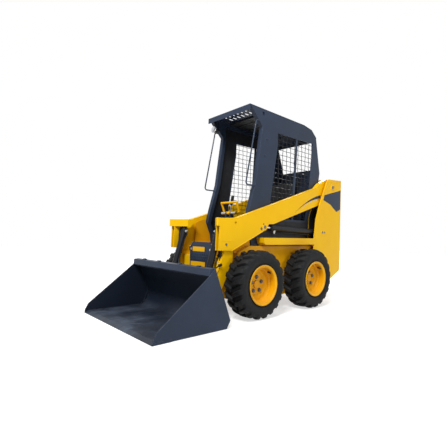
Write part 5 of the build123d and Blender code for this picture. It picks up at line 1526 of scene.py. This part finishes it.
# x, z of each mesh wire's ends
MESH_ENDS_X, MESH_ENDS_Z = (-0.197, 0.197), (0.626, 1.068)
LATCH_DISH = rounded_box_outline(0.186, 0.242, 0.735, 0.835, 0.010)
LATCH_PADDLE = rounded_box_outline(0.194, 0.234, 0.752, 0.818, 0.006)
DOOR_BOLTS = [(x, DOOR_FACE_Y, z) for x in (-0.215, 0.215) for z in (0.46, 0.60, 1.11)]

uprights = [tube([(x, MESH_Y, z) for z in MESH_ENDS_Z], MESH_WIRE, sides=5)
            for x in np.arange(-0.190, 0.1901, MESH_STEP)]
levels = [tube([(x, MESH_Y + 0.0018, z) for x in MESH_ENDS_X], MESH_WIRE, sides=5)
          for z in np.arange(0.640, 1.065, MESH_STEP)]
latch = joined([pushed_xz(LATCH_DISH, DOOR_FACE_Y - 0.0005, DOOR_FACE_Y + 0.003),
                pushed_xz(LATCH_PADDLE, DOOR_FACE_Y + 0.002, DOOR_FACE_Y + 0.0085)])
lock = turned((0.214, DOOR_FACE_Y + 0.002, 0.743), (0.214, DOOR_FACE_Y + 1, 0.743),
              [(0, 0.006), (0.0035, 0.006), (0.004, 0.004)], sides=20)
piece("door_mesh", joined(uprights + levels), "rear_door", black_enamel, smooth=60)
piece("door_latch", latch, "rear_door", black_plastic, bevel=0.001)
piece("door_lock", joined([lock, bolt_set(DOOR_BOLTS, Y, 0.006, 0.004)]), "rear_door", zinc)
print("rear door:", len(uprights), "upright and", len(levels), "level wires")

# %% Engine hood
hood_low, hood_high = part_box("engine_hood")
HOOD_Z = hood_high[2]
HANDLE_Y = 1.225
# x, height above the hood
HANDLE = [(-0.055, -0.002), (-0.055, 0.022), (0.0, 0.026), (0.055, 0.022), (0.055, -0.002)]
HOOD_BOLT_XS, HOOD_BOLT_YS = (hood_low[0] + 0.025, hood_high[0] - 0.025), (0.985, 1.235)
HOOD_BOLTS = [(x, y, HOOD_Z - 0.0002) for x in HOOD_BOLT_XS for y in HOOD_BOLT_YS]

handle_path = smooth_path([(x, HANDLE_Y, HOOD_Z + height) for x, height in HANDLE])
piece("hood_handle", tube(handle_path, 0.0055, sides=12), "machine", black_enamel, smooth=60)
piece("hood_bolts", bolt_set(HOOD_BOLTS, Z, 0.007, 0.005), "machine", zinc)
print("hood: handle and", len(HOOD_BOLTS), "bolts")

# %% Tail lamps
TAIL_LAMP_X, TAIL_LAMP_Z = 0.330, 1.180
REAR_FACE_Y = 1.278
TAIL_RING = [(-0.002, 0.0335), (0.0018, 0.0335), (0.002, 0.031), (0.0012, 0.0295)]


def tail_lamp(x):
    """A ring, and a shallow dome, along = rise * sin t + six flutes as a cosine, radius = r * cos t."""
    start, end = (x, REAR_FACE_Y - 0.002, TAIL_LAMP_Z), (x, REAR_FACE_Y + 1, TAIL_LAMP_Z)
    s = np.linspace(0.0, 1, 14)
    along = 0.0004 + 0.0014 * np.sin(s * math.pi / 2) + 0.0002 * np.cos(s * 6 * 2 * math.pi)
    dome = np.stack([along, 0.0295 * np.cos(s * math.pi / 2) + 0.0003], axis=1)
    return turned(start, end, TAIL_RING, sides=48), turned(start, end, dome, sides=48)


rings, domes = zip(*(tail_lamp(sign * TAIL_LAMP_X) for _, sign in SIDES))
piece("tail_rings", joined(rings), "machine", black_plastic)
piece("tail_domes", joined(domes), "machine", lens_red, smooth=60)
print("tail lamps at", [TAIL_LAMP_X, REAR_FACE_Y, TAIL_LAMP_Z])
